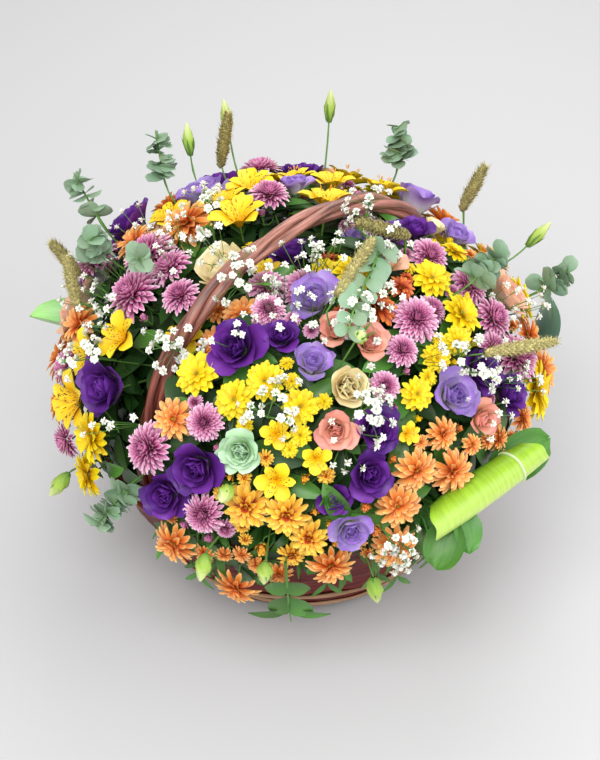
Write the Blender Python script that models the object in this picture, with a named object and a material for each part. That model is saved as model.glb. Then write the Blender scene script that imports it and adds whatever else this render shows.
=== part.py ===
# Flower basket arrangement: a flared woven basket with a tall twisted handle, a plastic
# liner, a mound of floral foam and a dense dome of mixed flowers whose stems stand in it.
# Metres, +Z up, origin at the centre of the basket's flat base, front at -Y.

import math
import random

import bpy
import bmesh
import numpy as np
from mathutils import Matrix, Vector

SEED = 7
GAP = 0.0003             # clearance between neighbouring solids
ROOM = 0.0008            # clearance that the planting keeps between two flowers or stems

# Basket
BASE_RADIUS = 0.138
RIM_RADIUS = 0.2145      # centre line of the rolled rim
RIM_HEIGHT = 0.168
RIM_ROD = 0.006
WALL_TOP = RIM_HEIGHT - RIM_ROD - GAP
WALL_THICKNESS = 0.005
WALL_FLARE = 0.8         # below 1 the wall bellies out low down
FLOOR_THICKNESS = 0.010
WEAVE_DEPTH = 0.0012     # how far a course stands in or out of the wall's mean surface
STAKES = 18
COURSES = 8
BAND_LEVELS = (0.030, 0.046)
BAND_WAVE = 0.008
BAND_WIDTH = 0.007
BAND_THICKNESS = 0.0024

# Handle: three rods twisted about one centre line
HANDLE_TURN = -49.0      # azimuth of the front foot
HANDLE_SPAN = 0.2045     # half the distance between the legs above the rim
HANDLE_APEX = 0.4035
HANDLE_POWER = 0.88
HANDLE_FOOT = 0.050
HANDLE_INSET = 0.0184    # from the wall's outside to the centre line at the foot
HANDLE_LEAN = 0.0007     # further in than that where it passes the rim
HANDLE_ROD = 0.0051
HANDLE_SPREAD = 0.0054   # each rod's axis lies this far from the centre line
HANDLE_TWIST = 0.30      # length of one full turn
HANDLE_BUNDLE = HANDLE_ROD + HANDLE_SPREAD
HAND_ROOM = 0.022        # free height under the top of the handle
HAND_WIDTH = 0.075       # free width there

# Liner and foam
LINER_BOTTOM_RADIUS = 0.118
LINER_TOP_RADIUS = 0.160
LINER_TOP = 0.150
LINER_THICKNESS = 0.0015
POT_SIDES = 20           # the liner and the foam in it
FOAM_SHOULDER = 0.135
FOAM_RISE = 0.100
STEM_DEPTH = 0.034       # how deep a main stem stands in the foam
STEM_FOCUS = Vector((0.0, 0.0, 0.095))

# Dome of flowers: an ellipsoid that the bloom centres lie on
DOME_CENTRE = Vector((0.0, 0.0, 0.20))
DOME_REACH = 0.25
DOME_RISE = 0.195

MAIN_STEM = 0.0023
SIDE_STEM = 0.0015
SPRIG_STEM = 0.0012
FINE_STEM = 0.0008
BUD_LENGTH = 0.034
BUD_RADIUS = 0.0068
GRASS_RADIUS = 0.0085
FLORET_RADIUS = 0.0050
FORK_STEP = 0.0035       # side stems leave the main stem this far apart

# One closed surface for each kind of bloom: a ring of petal tips and the valleys between
# them, then an inner ring of petals over the valleys. Every point is (radius, height) in
# shares of the bloom's radius.
BLOOMS = {
    "daisy": dict(size=0.026, petals=5, bottom=-0.25, top=0.30,
                  tip=(0.98, 0.12), valley=(0.72, 0.05), inner=(0.42, 0.26)),
    "mum": dict(size=0.024, petals=5, bottom=-0.32, top=0.56,
                tip=(0.98, 0.05), valley=(0.78, 0.04), inner=(0.72, 0.42)),
    "lily": dict(size=0.025, petals=5, bottom=-0.45, top=0.02,
                 tip=(0.92, 0.36), valley=(0.58, 0.16), inner=(0.50, 0.40)),
    "rose": dict(size=0.028, petals=5, bottom=-0.48, top=0.26,
                 tip=(0.96, 0.16), valley=(0.84, 0.08), inner=(0.72, 0.52)),
}

# Where each bloom of each bunch stands: (azimuth, lift) in degrees round the dome, then
# its reach (1 is on the dome) and its size (1 is the kind's own) where they differ.
# Azimuth 0 is the front and 90 the right side.
BUNCHES = {
    "daisies_yellow_front": ("daisy", "yellow", (
        (-40, 40), (-30, 47), (-20, 43), (-9, 47), (4, 42))),
    "daisies_yellow_low_left": ("daisy", "yellow", (
        (-59, 14), (-57, 3))),
    "daisies_yellow_right": ("daisy", "yellow", (
        (36, 39), (45, 43), (54, 45), (63, 48))),
    "daisies_yellow_right_edge": ("daisy", "yellow", (
        (76, 14), (100, 27), (123, 14), (144, 12))),
    "daisies_yellow_top": ("daisy", "yellow", (
        (-25, 83), (70, 82), (52, 73), (75, 61), (96, 54))),
    "daisies_yellow_back": ("daisy", "yellow", (
        (150, 32), (170, 12), (-172, 36), (-150, 20), (-130, 8))),
    "alstroemerias_yellow_front": ("lily", "yellow", (
        (-5, 33), (5, 33), (-3, 25), (25, 33))),
    "alstroemerias_yellow_left": ("lily", "yellow", (
        (-64, 43), (-60, 52), (-70, 29), (-68, 17))),
    "alstroemerias_yellow_top_left": ("lily", "yellow", (
        (-85, 79), (-115, 76), (-136, 67), (-152, 57), (-126, 52))),
    "alstroemerias_yellow_top_back": ("lily", "yellow", (
        (165, 47), (177, 57), (158, 73), (146, 52), (168, 63))),
    "mums_orange_left": ("mum", "orange", (
        (-58, 62), (-42, 54), (-33, 66), (-31, 34))),
    "mums_orange_left_edge": ("mum", "orange", (
        (-87, 26), (-87, 12), (-79, 3), (-105, 3))),
    "mums_orange_low_front": ("mum", "orange", (
        (-28, -2, 1.02), (-14, -13, 1.04), (7, 0, 1.0), (21, -1, 1.0))),
    "mums_orange_right": ("mum", "orange", (
        (27, 25), (35, 29), (38, 20), (22, 17), (44, 24))),
    "mums_orange_right_edge": ("mum", "orange", (
        (64, 17), (56, 4), (88, 22), (84, 12), (105, 38))),
    "mums_orange_top": ("mum", "rust", (
        (115, 77), (58, 60), (42, 60))),
    "mums_orange_top_left": ("mum", "orange", (
        (-117, 60), (-112, 46), (-133, 38))),
    "mums_orange_back": ("mum", "orange", (
        (136, 28), (157, 5), (-178, 22), (-163, 7), (-143, 32))),
    "mums_gold_front": ("mum", "gold", (
        (-2, 18), (-10, 17, 1.0, 0.7), (2, 10, 1.0, 0.75))),
    "mums_pink_front_left": ("mum", "pink", (
        (-23, 36), (-35, 24, 1.0, 1.15), (-24, 13))),
    "mums_pink_front_right": ("mum", "pink", (
        (23, 46), (33, 50), (48, 52, 1.0, 1.15), (60, 55, 0.96, 0.7))),
    "mums_pink_right": ("mum", "pink", (
        (73, 40, 1.0, 1.1), (66, 35), (71, 29), (84, 45), (86, 57))),
    "mums_pink_top": ("mum", "pink", (
        (-14, 63), (-24, 75), (14, 76))),
    "mums_pink_left": ("mum", "pink", (
        (-75, 60), (-93, 55), (-74, 49), (-64, 60, 0.95, 0.8))),
    "mums_pink_left_edge": ("mum", "pink", (
        (-106, 30, 1.05), (-79, 18, 1.0, 0.7), (-67, 4, 1.02, 0.8), (-121, 14))),
    "mums_pink_back": ("mum", "pink", (
        (-166, 49, 1.04), (-166, 70), (146, 63), (128, 37), (165, 22), (-163, 33))),
    "lisianthus_violet_front": ("rose", "violet", (
        (-19, 54), (-8, 56), (-24, 25), (-29, 16))),
    "lisianthus_violet_right": ("rose", "violet", (
        (14, 27), (11, 17, 0.97), (17, 34), (55, 32), (61, 27))),
    "lisianthus_violet_top": ("rose", "violet", (
        (112, 61), (100, 68), (-175, 80))),
    "lisianthus_violet_left": ("rose", "violet", (
        (-121, 42, 1.05), (-62, 27))),
    "lisianthus_violet_back": ("rose", "violet", (
        (158, 18), (-176, 46), (-156, 45), (-124, 27))),
    "lisianthus_lilac_front": ("rose", "lilac", (
        (5, 52, 1.0, 1.12), (6, 66), (9, 14, 1.03))),
    "lisianthus_lilac_right": ("rose", "lilac", (
        (124, 46, 1.06), (111, 50), (92, 48, 1.0, 0.7), (46, 34), (112, 69))),
    "lisianthus_lilac_back": ("rose", "lilac", (
        (-178, 68, 1.0, 0.8), (145, 40), (-140, 50), (-112, 20))),
    "roses_peach_front": ("rose", "salmon", (
        (12, 36), (14, 57), (23, 55), (47, 27))),
    "roses_peach_side": ("rose", "peach", (
        (-98, 25), (88, 36), (120, 62), (62, 67))),
    "roses_peach_back": ("rose", "peach", (
        (175, 30), (-143, 12), (134, 4))),
    "roses_cream": ("rose", "cream", (
        (14, 43), (-66, 71, 1.0, 1.1), (108, 55, 1.0, 0.8))),
    "rose_mint": ("rose", "mint", (
        (-13, 34),)),
}

# Foliage and filler. A sprig runs over its points as (azimuth, lift, reach), and its
# leaves, florets or bristles grow along it.
SPRIGS = {
    "eucalyptus_left": ("round_leaf", "eucalyptus", (
        ((-140, 50, 1.08), (-143, 56, 1.38)), ((-110, 38, 1.08), (-112, 45, 1.42)),
        ((-101, 40, 1.10), (-92, 48, 1.24)), ((-84, 52, 1.10), (-72, 58, 1.20)))),
    "eucalyptus_right": ("round_leaf", "eucalyptus", (
        ((28, 62, 1.08), (62, 74, 1.14)), ((68, 52, 1.12), (84, 50, 1.24)),
        ((100, 16, 1.08), (102, 18, 1.28)), ((148, 42, 1.10), (150, 48, 1.30)))),
    "eucalyptus_low_left": ("round_leaf", "eucalyptus", (
        ((-40, 12, 1.00), (-41, 4, 1.16)),)),
    "grass_heads_left": ("grass_head", "grass", (
        ((-152, 50, 1.10), (-156, 58, 1.36)), ((-104, 33, 1.08), (-106, 36, 1.26)),
        ((-82, 36, 1.10), (-90, 42, 1.24)))),
    "grass_heads_right": ("grass_head", "grass", (
        ((80, 68, 1.12), (60, 78, 1.20)), ((118, 46, 1.10), (118, 50, 1.34)),
        ((52, 38, 1.12), (72, 26, 1.18)))),
    "gypsophila_left": ("floret", "white", (
        ((-38, 72, 1.0), (-36, 76, 1.08)), ((-112, 68, 1.0), (-112, 68, 1.10)),
        ((-66, 36, 1.0), (-66, 36, 1.10)), ((-47, 47, 0.9), (-46, 48, 1.02)),
        ((-8, 39, 1.0), (-8, 39, 1.08)))),
    "gypsophila_right": ("floret", "white", (
        ((108, 74, 1.0), (108, 74, 1.10)), ((28, 57, 1.0), (28, 58, 1.10)),
        ((20, 10, 1.0), (22, 4, 1.12)), ((18, 39, 1.0), (18, 39, 1.08)),
        ((50, 37, 1.0), (50, 37, 1.08)))),
    "lisianthus_buds_back": ("bud", "lime", (
        ((-157, 52, 1.10), (-158, 55, 1.40)), ((-146, 44, 1.08), (-148, 50, 1.34)),
        ((172, 42, 1.08), (172, 50, 1.42)), ((108, 31, 1.08), (109, 34, 1.30)))),
    "lisianthus_buds_front": ("bud", "lime", (
        ((-15, 24, 1.0), (-15, 24, 1.14)), ((-19, 4, 1.06), (-19, -2, 1.14)),
        ((-7, 5, 1.06), (-7, 0, 1.12)), ((15, -2, 1.08), (16, -12, 1.12)),
        ((-60, -2, 1.02), (-60, -8, 1.14)), ((20, 56, 1.08), (22, 57, 1.16)))),
}

# Large leaves: base and tip as (azimuth, lift, reach), width, how far the blade folds,
# and colour.
LEAVES = {
    "leaf_folded_left": ((-99, 14, 0.84), (-99, 15, 1.16), 0.040, 0.30, "pale_leaf"),
    "leaf_blue_right": ((106, -2, 1.03), (97, 22, 1.12), 0.040, 0.15, "blue_leaf"),
    "leaf_rolled_front_right": ((33, 6, 1.06), (53, 9, 1.10), 0.034, 0.25, "bright_leaf"),
    "leaves_hanging_front": ((-3, 2, 1.04), (-2, -26, 1.10), 0.022, 0.20, "dark_leaf"),
}

COLOURS = {              # colour and roughness
    "mahogany": ((0.085, 0.012, 0.010), 0.45),
    "rim_brown": ((0.110, 0.020, 0.016), 0.45),
    "tan": ((0.420, 0.240, 0.120), 0.60),
    "handle_brown": ((0.230, 0.090, 0.070), 0.50),
    "liner": ((0.020, 0.022, 0.020), 0.35),
    "foam": ((0.030, 0.110, 0.030), 0.90),
    "yellow": ((0.950, 0.640, 0.005), 0.60),
    "orange": ((0.840, 0.250, 0.030), 0.60),
    "rust": ((0.560, 0.070, 0.010), 0.60),
    "gold": ((0.900, 0.380, 0.030), 0.60),
    "pink": ((0.640, 0.170, 0.440), 0.60),
    "violet": ((0.080, 0.015, 0.250), 0.60),
    "lilac": ((0.330, 0.220, 0.640), 0.60),
    "salmon": ((0.860, 0.310, 0.210), 0.60),
    "peach": ((0.900, 0.480, 0.280), 0.60),
    "cream": ((0.950, 0.820, 0.420), 0.60),
    "mint": ((0.500, 0.760, 0.450), 0.60),
    "eucalyptus": ((0.230, 0.370, 0.270), 0.65),
    "grass": ((0.300, 0.240, 0.060), 0.80),
    "white": ((0.880, 0.870, 0.740), 0.70),
    "lime": ((0.400, 0.560, 0.060), 0.50),
    "pale_leaf": ((0.420, 0.620, 0.280), 0.50),
    "blue_leaf": ((0.180, 0.360, 0.290), 0.50),
    "bright_leaf": ((0.330, 0.650, 0.030), 0.45),
    "dark_leaf": ((0.020, 0.090, 0.012), 0.45),
}


def material(colour_name):
    if colour_name in bpy.data.materials:
        return bpy.data.materials[colour_name]
    colour, roughness = COLOURS[colour_name]
    made = bpy.data.materials.new(colour_name)
    made.use_nodes = True
    shader = made.node_tree.nodes["Principled BSDF"]
    shader.inputs["Base Color"].default_value = (*colour, 1.0)
    shader.inputs["Roughness"].default_value = roughness
    shader.inputs["Metallic"].default_value = 0.0
    return made


def new_object(name, mesh, colour_name, smooth_angle=40.0):
    made = bpy.data.objects.new(name, mesh)
    bpy.context.scene.collection.objects.link(made)
    mesh.materials.clear()
    mesh.materials.append(material(colour_name))
    mesh.shade_smooth()
    mesh.set_sharp_from_angle(angle=math.radians(smooth_angle))
    return made


def stitch(build, low, high):
    # Bridges two rings of different counts, each evenly spaced round its own centre.
    def way(ring, k):
        middle = sum((corner.co for corner in ring), Vector()) / len(ring)
        return (ring[k].co - middle).normalized()

    start = max(range(len(high)), key=lambda k: way(high, k).dot(way(low, 0)))
    high = high[start:] + high[:start]
    i = j = 0
    while i < len(low) or j < len(high):
        a, b = low[i % len(low)], high[j % len(high)]
        if j == len(high) or (i + 0.5) / len(low) < (j + 0.5) / len(high):
            build.faces.new((a, low[(i + 1) % len(low)], b))
            i += 1
        else:
            build.faces.new((a, high[(j + 1) % len(high)], b))
            j += 1


def mesh_from_rings(rings, closed_loop=False, bottom=None, top=None):
    # Rings are bridged in turn. The ends close on a point or a flat face, or on each other
    # when the rings go round a loop.
    build = bmesh.new()
    rows = [[build.verts.new(point) for point in ring] for ring in rings]
    pairs = list(zip(rows, rows[1:])) + ([(rows[-1], rows[0])] if closed_loop else [])
    for low, high in pairs:
        if len(low) != len(high):
            stitch(build, low, high)
            continue
        for k in range(len(low)):
            after = (k + 1) % len(low)
            build.faces.new((low[k], low[after], high[after], high[k]))
    if not closed_loop:
        for row, point in ((rows[0][::-1], bottom), (rows[-1], top)):
            if point is None:
                build.faces.new(row)
                continue
            tip = build.verts.new(point)
            for k in range(len(row)):
                build.faces.new((row[k], row[(k + 1) % len(row)], tip))
    bmesh.ops.recalc_face_normals(build, faces=build.faces)
    bmesh.ops.triangulate(build, faces=build.faces)
    mesh = bpy.data.meshes.new("shape")
    build.to_mesh(mesh)
    build.free()
    return mesh


# ---- Basket, handle, liner and foam

def direction(azimuth):
    turn = math.radians(azimuth)
    return Vector((math.sin(turn), -math.cos(turn), 0.0))


def wall_radius(height):
    share = min(max(height / WALL_TOP, 0.0), 1.0)
    return BASE_RADIUS + (RIM_RADIUS + WALL_THICKNESS / 2 - BASE_RADIUS) * share ** WALL_FLARE


def circle(radius, height, count):
    return [direction(360.0 * k / count) * radius + Vector((0, 0, height)) for k in range(count)]


def basket_wall():
    # Every second point of a course stands out, and the next course swaps them, which is
    # how a rod weaves in and out of the stakes.
    columns = 2 * STAKES
    rings = []
    for course in range(COURSES + 1):
        height = WALL_TOP * course / COURSES
        ring = []
        for k in range(columns):
            weave = WEAVE_DEPTH if (course + k) % 2 else -WEAVE_DEPTH
            if course in (0, COURSES):
                weave = 0.0
            radius = wall_radius(height) + weave
            ring.append(direction(360.0 * k / columns) * radius + Vector((0, 0, height)))
        rings.append(ring)
    for share in (1.0, 0.45):
        height = FLOOR_THICKNESS + (WALL_TOP - FLOOR_THICKNESS) * share
        rings.append(circle(wall_radius(height) - WALL_THICKNESS, height, columns))
    floor_edge = wall_radius(FLOOR_THICKNESS) - WALL_THICKNESS
    rings.append(circle(floor_edge, FLOOR_THICKNESS, columns))
    mesh = mesh_from_rings(rings)
    return new_object("basket_wall", mesh, "mahogany", 50)


def basket_rim():
    # The border's rods wrap round each other, so the roll's section turns as it goes.
    steps, sides, wraps = 36, 4, 6
    rings = []
    for k in range(steps):
        out = direction(360.0 * k / steps)
        ring = []
        for side in range(sides):
            turn = 2 * math.pi * (side / sides + wraps * k / steps / sides)
            ring.append(out * (RIM_RADIUS + RIM_ROD * math.cos(turn))
                        + Vector((0, 0, RIM_HEIGHT + RIM_ROD * math.sin(turn))))
        rings.append(ring)
    build = bmesh.new()
    rows = [[build.verts.new(point) for point in ring] for ring in rings]
    for k in range(steps):
        slip = wraps if k == steps - 1 else 0
        low, high = rows[k], rows[(k + 1) % steps]
        for side in range(sides):
            after = (side + 1) % sides
            build.faces.new((low[side], low[after],
                             high[(after + slip) % sides], high[(side + slip) % sides]))
    bmesh.ops.recalc_face_normals(build, faces=build.faces)
    mesh = bpy.data.meshes.new("rim")
    build.to_mesh(mesh)
    build.free()
    return new_object("basket_rim", mesh, "rim_brown", 60)


def band(level, phase):
    # A flat cane laid round the lower wall, rising and falling as it goes.
    steps = 24
    rings = []
    for k in range(steps):
        azimuth = 360.0 * k / steps
        height = level + BAND_WAVE * math.sin(math.radians(3 * azimuth + phase))
        out = direction(azimuth)
        ring = []
        for side_out, side_up in ((0, -0.5), (1, -0.5), (1, 0.5), (0, 0.5)):
            z = height + side_up * BAND_WIDTH
            inner = wall_radius(z) + WEAVE_DEPTH + GAP + 0.0012
            ring.append(out * (inner + side_out * BAND_THICKNESS) + Vector((0, 0, z)))
        rings.append(ring)
    return mesh_from_rings(rings, closed_loop=True)


def basket_bands():
    shapes = [band(BAND_LEVELS[0], 200.0), band(BAND_LEVELS[1], 60.0)]
    return fuse("basket_bands", shapes, "tan")


def handle_line(share):
    # The legs run up inside the wall, and a squared arch joins them.
    leg = 0.13
    side = -1.0 if share > 0.5 else 1.0
    near = min(share, 1.0 - share)
    if near < leg:
        height = HANDLE_FOOT + (WALL_TOP - HANDLE_FOOT) * near / leg
        out = wall_radius(height) - HANDLE_INSET - HANDLE_LEAN * near / leg
    else:
        turn = math.pi / 2 * (near - leg) / (0.5 - leg)
        rise = math.sin(turn) ** HANDLE_POWER
        blend = min((near - leg) / 0.05, 1.0)
        start = wall_radius(WALL_TOP) - HANDLE_INSET - HANDLE_LEAN
        reach = start + (HANDLE_SPAN - start) * blend * (2 - blend)
        out = reach * max(math.cos(turn), 0.0) ** HANDLE_POWER
        height = WALL_TOP + (HANDLE_APEX - WALL_TOP) * rise
    return direction(HANDLE_TURN) * out * side + Vector((0, 0, height))


def even_line(line, steps):
    # Points at equal lengths along a curve that is given as a function of 0 to 1.
    fine = [line(k / 800) for k in range(801)]
    lengths = [0.0]
    for first, second in zip(fine, fine[1:]):
        lengths.append(lengths[-1] + (second - first).length)
    points = []
    at = 0
    for k in range(steps + 1):
        target = lengths[-1] * k / steps
        while at < 799 and lengths[at + 1] < target:
            at += 1
        share = (target - lengths[at]) / (lengths[at + 1] - lengths[at])
        points.append(fine[at].lerp(fine[at + 1], min(share, 1.0)))
    return points, lengths[-1]


def handle_rods():
    steps, sides = 40, 4
    points, length = even_line(handle_line, steps)
    across = direction(HANDLE_TURN + 90)
    made = []
    for rod in range(3):
        rings = []
        for k, point in enumerate(points):
            before, after = points[max(k - 1, 0)], points[min(k + 1, steps)]
            tangent = (after - before).normalized()
            normal = tangent.cross(across).normalized()
            turn = 2 * math.pi * (length * k / steps / HANDLE_TWIST + rod / 3)
            centre = point + (normal * math.cos(turn) + across * math.sin(turn)) * HANDLE_SPREAD
            ring = []
            for side in range(sides):
                angle = turn + 2 * math.pi * side / sides
                ring.append(centre + (normal * math.cos(angle)
                                      + across * math.sin(angle)) * HANDLE_ROD)
            rings.append(ring)
        mesh = mesh_from_rings(rings)
        made.append(new_object(f"handle_rod_{rod + 1}", mesh, "handle_brown", 80))
    return made


def liner_radius(height):
    share = (height - FLOOR_THICKNESS) / (LINER_TOP - FLOOR_THICKNESS)
    return LINER_BOTTOM_RADIUS + (LINER_TOP_RADIUS - LINER_BOTTOM_RADIUS) * share


def liner():
    count = POT_SIDES
    floor = FLOOR_THICKNESS + GAP
    inside = floor + LINER_THICKNESS
    rings = [circle(liner_radius(floor), floor, count),
             circle(liner_radius(LINER_TOP), LINER_TOP, count),
             circle(liner_radius(LINER_TOP) - LINER_THICKNESS, LINER_TOP, count),
             circle(liner_radius(inside) - LINER_THICKNESS, inside, count)]
    return new_object("liner", mesh_from_rings(rings), "liner")


def foam_radius(height):
    return liner_radius(height) - LINER_THICKNESS - GAP


def foam(holes):
    count = POT_SIDES
    floor = FLOOR_THICKNESS + 2 * GAP + LINER_THICKNESS
    shoulder = foam_radius(FOAM_SHOULDER)
    rings = [circle(foam_radius(floor), floor, count)]
    for lift in (0, 25, 50, 72):
        turn = math.radians(lift)
        rings.append(circle(shoulder * math.cos(turn),
                            FOAM_SHOULDER + FOAM_RISE * math.sin(turn), count))
    mesh = mesh_from_rings(rings, top=(0, 0, FOAM_SHOULDER + FOAM_RISE))
    block = new_object("floral_foam", mesh, "foam")
    bore = MAIN_STEM + 2 * GAP
    cutters = [stem([(foot, bore), (mouth, bore)]) for foot, mouth in holes]
    combine(block, cutters, "DIFFERENCE")
    return block


def combine(target, shapes, operation):
    # One Boolean on a collection, applied, with the collection's objects then removed.
    tools = bpy.data.collections.new("tools")
    bpy.context.scene.collection.children.link(tools)
    for shape in shapes:
        tools.objects.link(bpy.data.objects.new("tool", shape))
    step = target.modifiers.new("join", "BOOLEAN")
    step.operation = operation
    step.operand_type = "COLLECTION"
    step.solver = "MANIFOLD"
    step.collection = tools
    bpy.context.view_layer.update()
    seen = target.evaluated_get(bpy.context.evaluated_depsgraph_get())
    joined = bpy.data.meshes.new_from_object(seen)
    target.modifiers.clear()
    target.data = joined
    for tool in list(tools.objects):
        bpy.data.objects.remove(tool)
    bpy.data.collections.remove(tools)


def keep_largest(mesh):
    # Drops a loose scrap, and fills a sealed hollow by dropping its wall.
    build = bmesh.new()
    build.from_mesh(mesh)
    left = set(build.verts)
    bodies = []
    while left:
        body, edge = set(), {left.pop()}
        while edge:
            body |= edge
            edge = {e.other_vert(v) for v in edge for e in v.link_edges} - body
        left -= body
        bodies.append(body)
    bodies.sort(key=len)
    for body in bodies[:-1]:
        bmesh.ops.delete(build, geom=list(body), context="VERTS")
    build.to_mesh(mesh)
    build.free()


def fuse(name, shapes, colour_name, smooth_angle=40.0):
    made = new_object(name, shapes[0], colour_name)
    if len(shapes) > 1:
        combine(made, shapes[1:], "UNION")
        keep_largest(made.data)
    made.data.materials.clear()
    made.data.materials.append(material(colour_name))
    made.data.shade_smooth()
    made.data.set_sharp_from_angle(angle=math.radians(smooth_angle))
    return made


# ---- Shapes of stems, blooms and leaves

def frame_on(axis, spin=0.0):
    turn = axis.to_track_quat("Z", "Y").to_matrix()
    return turn @ Matrix.Rotation(spin, 3, "Z")


def ring_round(centre, turn, widths):
    # One point for each width, evenly round the frame's own Z.
    count = len(widths)
    return [centre + turn @ Vector((width * math.cos(2 * math.pi * k / count),
                                    width * math.sin(2 * math.pi * k / count), 0))
            for k, width in enumerate(widths)]


def stem_rings(route, last_axis=None, sides=3):
    # A route is a list of points, each with the stem's radius there.
    rings = []
    last = len(route) - 1
    for k, (point, radius) in enumerate(route):
        tangent = (route[min(k + 1, last)][0] - route[max(k - 1, 0)][0]).normalized()
        if k == last and last_axis is not None:
            tangent = last_axis
        if k == 0:
            side_way = tangent.orthogonal().normalized()
        side_way = (side_way - tangent * side_way.dot(tangent)).normalized()
        turn = Matrix((side_way, tangent.cross(side_way), tangent)).transposed()
        rings.append(ring_round(point, turn, [radius] * sides))
    return rings


def stem(route):
    return mesh_from_rings(stem_rings(route))


def bloom(kind, centre, facing, radius, spin, route):
    # The stem runs on into the bloom's two rings of petals, as one closed surface.
    form = BLOOMS[kind]
    petals = form["petals"]
    turn = frame_on(facing, spin)
    rings = stem_rings(route, facing)
    for shares in ([form["valley"], form["tip"]] * petals, [form["inner"]] * petals):
        flat = ring_round(centre, turn, [out * radius for out, up in shares])
        rings.append([point + facing * up * radius for point, (out, up) in zip(flat, shares)])
    return mesh_from_rings(rings, top=centre + facing * form["top"] * radius)


def lens(centre, normal, along, radius, thickness=0.0012):
    # A round leaf: six-sided, thickest in its middle.
    turn = Matrix((along, normal.cross(along), normal)).transposed()
    return mesh_from_rings([ring_round(centre, turn, [radius] * 6)],
                           bottom=centre - normal * thickness, top=centre + normal * thickness)


def bud(route, end):
    # Narrow at its foot, fullest low down, pointed at its tip.
    axis = (end - route[-1][0]).normalized()
    foot = end - axis * min(BUD_LENGTH, 0.85 * (end - route[-1][0]).length)
    turn = frame_on(axis)
    rings = stem_rings(route + [(foot, SPRIG_STEM)])
    for share, width in ((0.35, 1.0), (0.72, 0.75)):
        rings.append(ring_round(foot.lerp(end, share), turn, [BUD_RADIUS * width] * 5))
    return mesh_from_rings(rings, top=end)


def grass_head(route, end, sides=6, rows=5):
    # Rings that swell and narrow by turns, so that the spikelets stand out.
    start = route[-1][0]
    turn = frame_on((end - start).normalized())
    rings = stem_rings(route + [(start.lerp(end, 0.12), SPRIG_STEM)])
    for row in range(rows):
        share = 0.2 + 0.8 * row / rows
        body = GRASS_RADIUS * (0.5 + 0.5 * math.sin(math.pi * min(share + 0.2, 1.0)))
        widths = [body * (1.0 if (row + s) % 2 else 0.6) for s in range(sides)]
        rings.append(ring_round(start.lerp(end, share), turn, widths))
    return mesh_from_rings(rings, top=end)


def floret(hub, tip):
    # A pinhead flower and its thread of a stem.
    axis = (tip - hub).normalized()
    turn = frame_on(axis)
    rings = stem_rings([(hub, FINE_STEM), (tip - axis * FLORET_RADIUS, FINE_STEM)])
    rings.append(ring_round(tip, turn, [FLORET_RADIUS] * 4))
    return mesh_from_rings(rings, top=tip + axis * FLORET_RADIUS * 0.8)


def blade(base, tip, normal, width, fold, thickness=0.0010):
    # A large leaf: its halves fold up from the midrib, and both faces are split into the
    # same triangles.
    shares = (0.0, 0.14, 0.34, 0.56, 0.78, 0.93, 1.0)
    widths = (0.10, 0.55, 0.95, 1.0, 0.70, 0.30, 0.06)
    along = (tip - base).normalized()
    across = normal.cross(along).normalized()
    build = bmesh.new()
    rows = []
    for share, wide in zip(shares, widths):
        middle = base.lerp(tip, share)
        half = width / 2 * wide
        row = []
        for level in (0.0, thickness):
            for side in (-1, 0, 1):
                lift = normal * (level + abs(side) * half * fold)
                row.append(build.verts.new(middle + across * side * half + lift))
        rows.append(row)
    for low, high in zip(rows, rows[1:]):
        for a, b in ((0, 1), (1, 2)):
            for shift in (0, 3):
                build.faces.new((low[a + shift], low[b + shift], high[b + shift]))
                build.faces.new((low[a + shift], high[b + shift], high[a + shift]))
        for edge in (0, 2):
            build.faces.new((low[edge], low[edge + 3], high[edge + 3], high[edge]))
    for row in (rows[0], rows[-1]):
        build.faces.new((row[0], row[1], row[4], row[3]))
        build.faces.new((row[1], row[2], row[5], row[4]))
    bmesh.ops.recalc_face_normals(build, faces=build.faces)
    bmesh.ops.triangulate(build, faces=build.faces)
    mesh = bpy.data.meshes.new("blade")
    build.to_mesh(mesh)
    build.free()
    return mesh


# ---- Where the flowers stand

def spot(azimuth, lift, reach=1.0):
    rise = math.radians(lift)
    return (DOME_CENTRE + direction(azimuth) * DOME_REACH * reach * math.cos(rise)
            + Vector((0, 0, DOME_RISE * reach * math.sin(rise))))


def dome_share(points):
    # Each point in the dome's own units, where length 1 is on the dome.
    return (points - np.array(DOME_CENTRE)) / np.array((DOME_REACH, DOME_REACH, DOME_RISE))


def from_dome_share(shares):
    return shares * np.array((DOME_REACH, DOME_REACH, DOME_RISE)) + np.array(DOME_CENTRE)


def facing_at(point):
    share = point - DOME_CENTRE
    return Vector((share.x / DOME_REACH ** 2, share.y / DOME_REACH ** 2,
                   share.z / DOME_RISE ** 2)).normalized()


def distance_to_handle(points, line):
    return np.sqrt(((points[:, None, :] - line[None, :, :]) ** 2).sum(2)).min(1)


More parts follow.
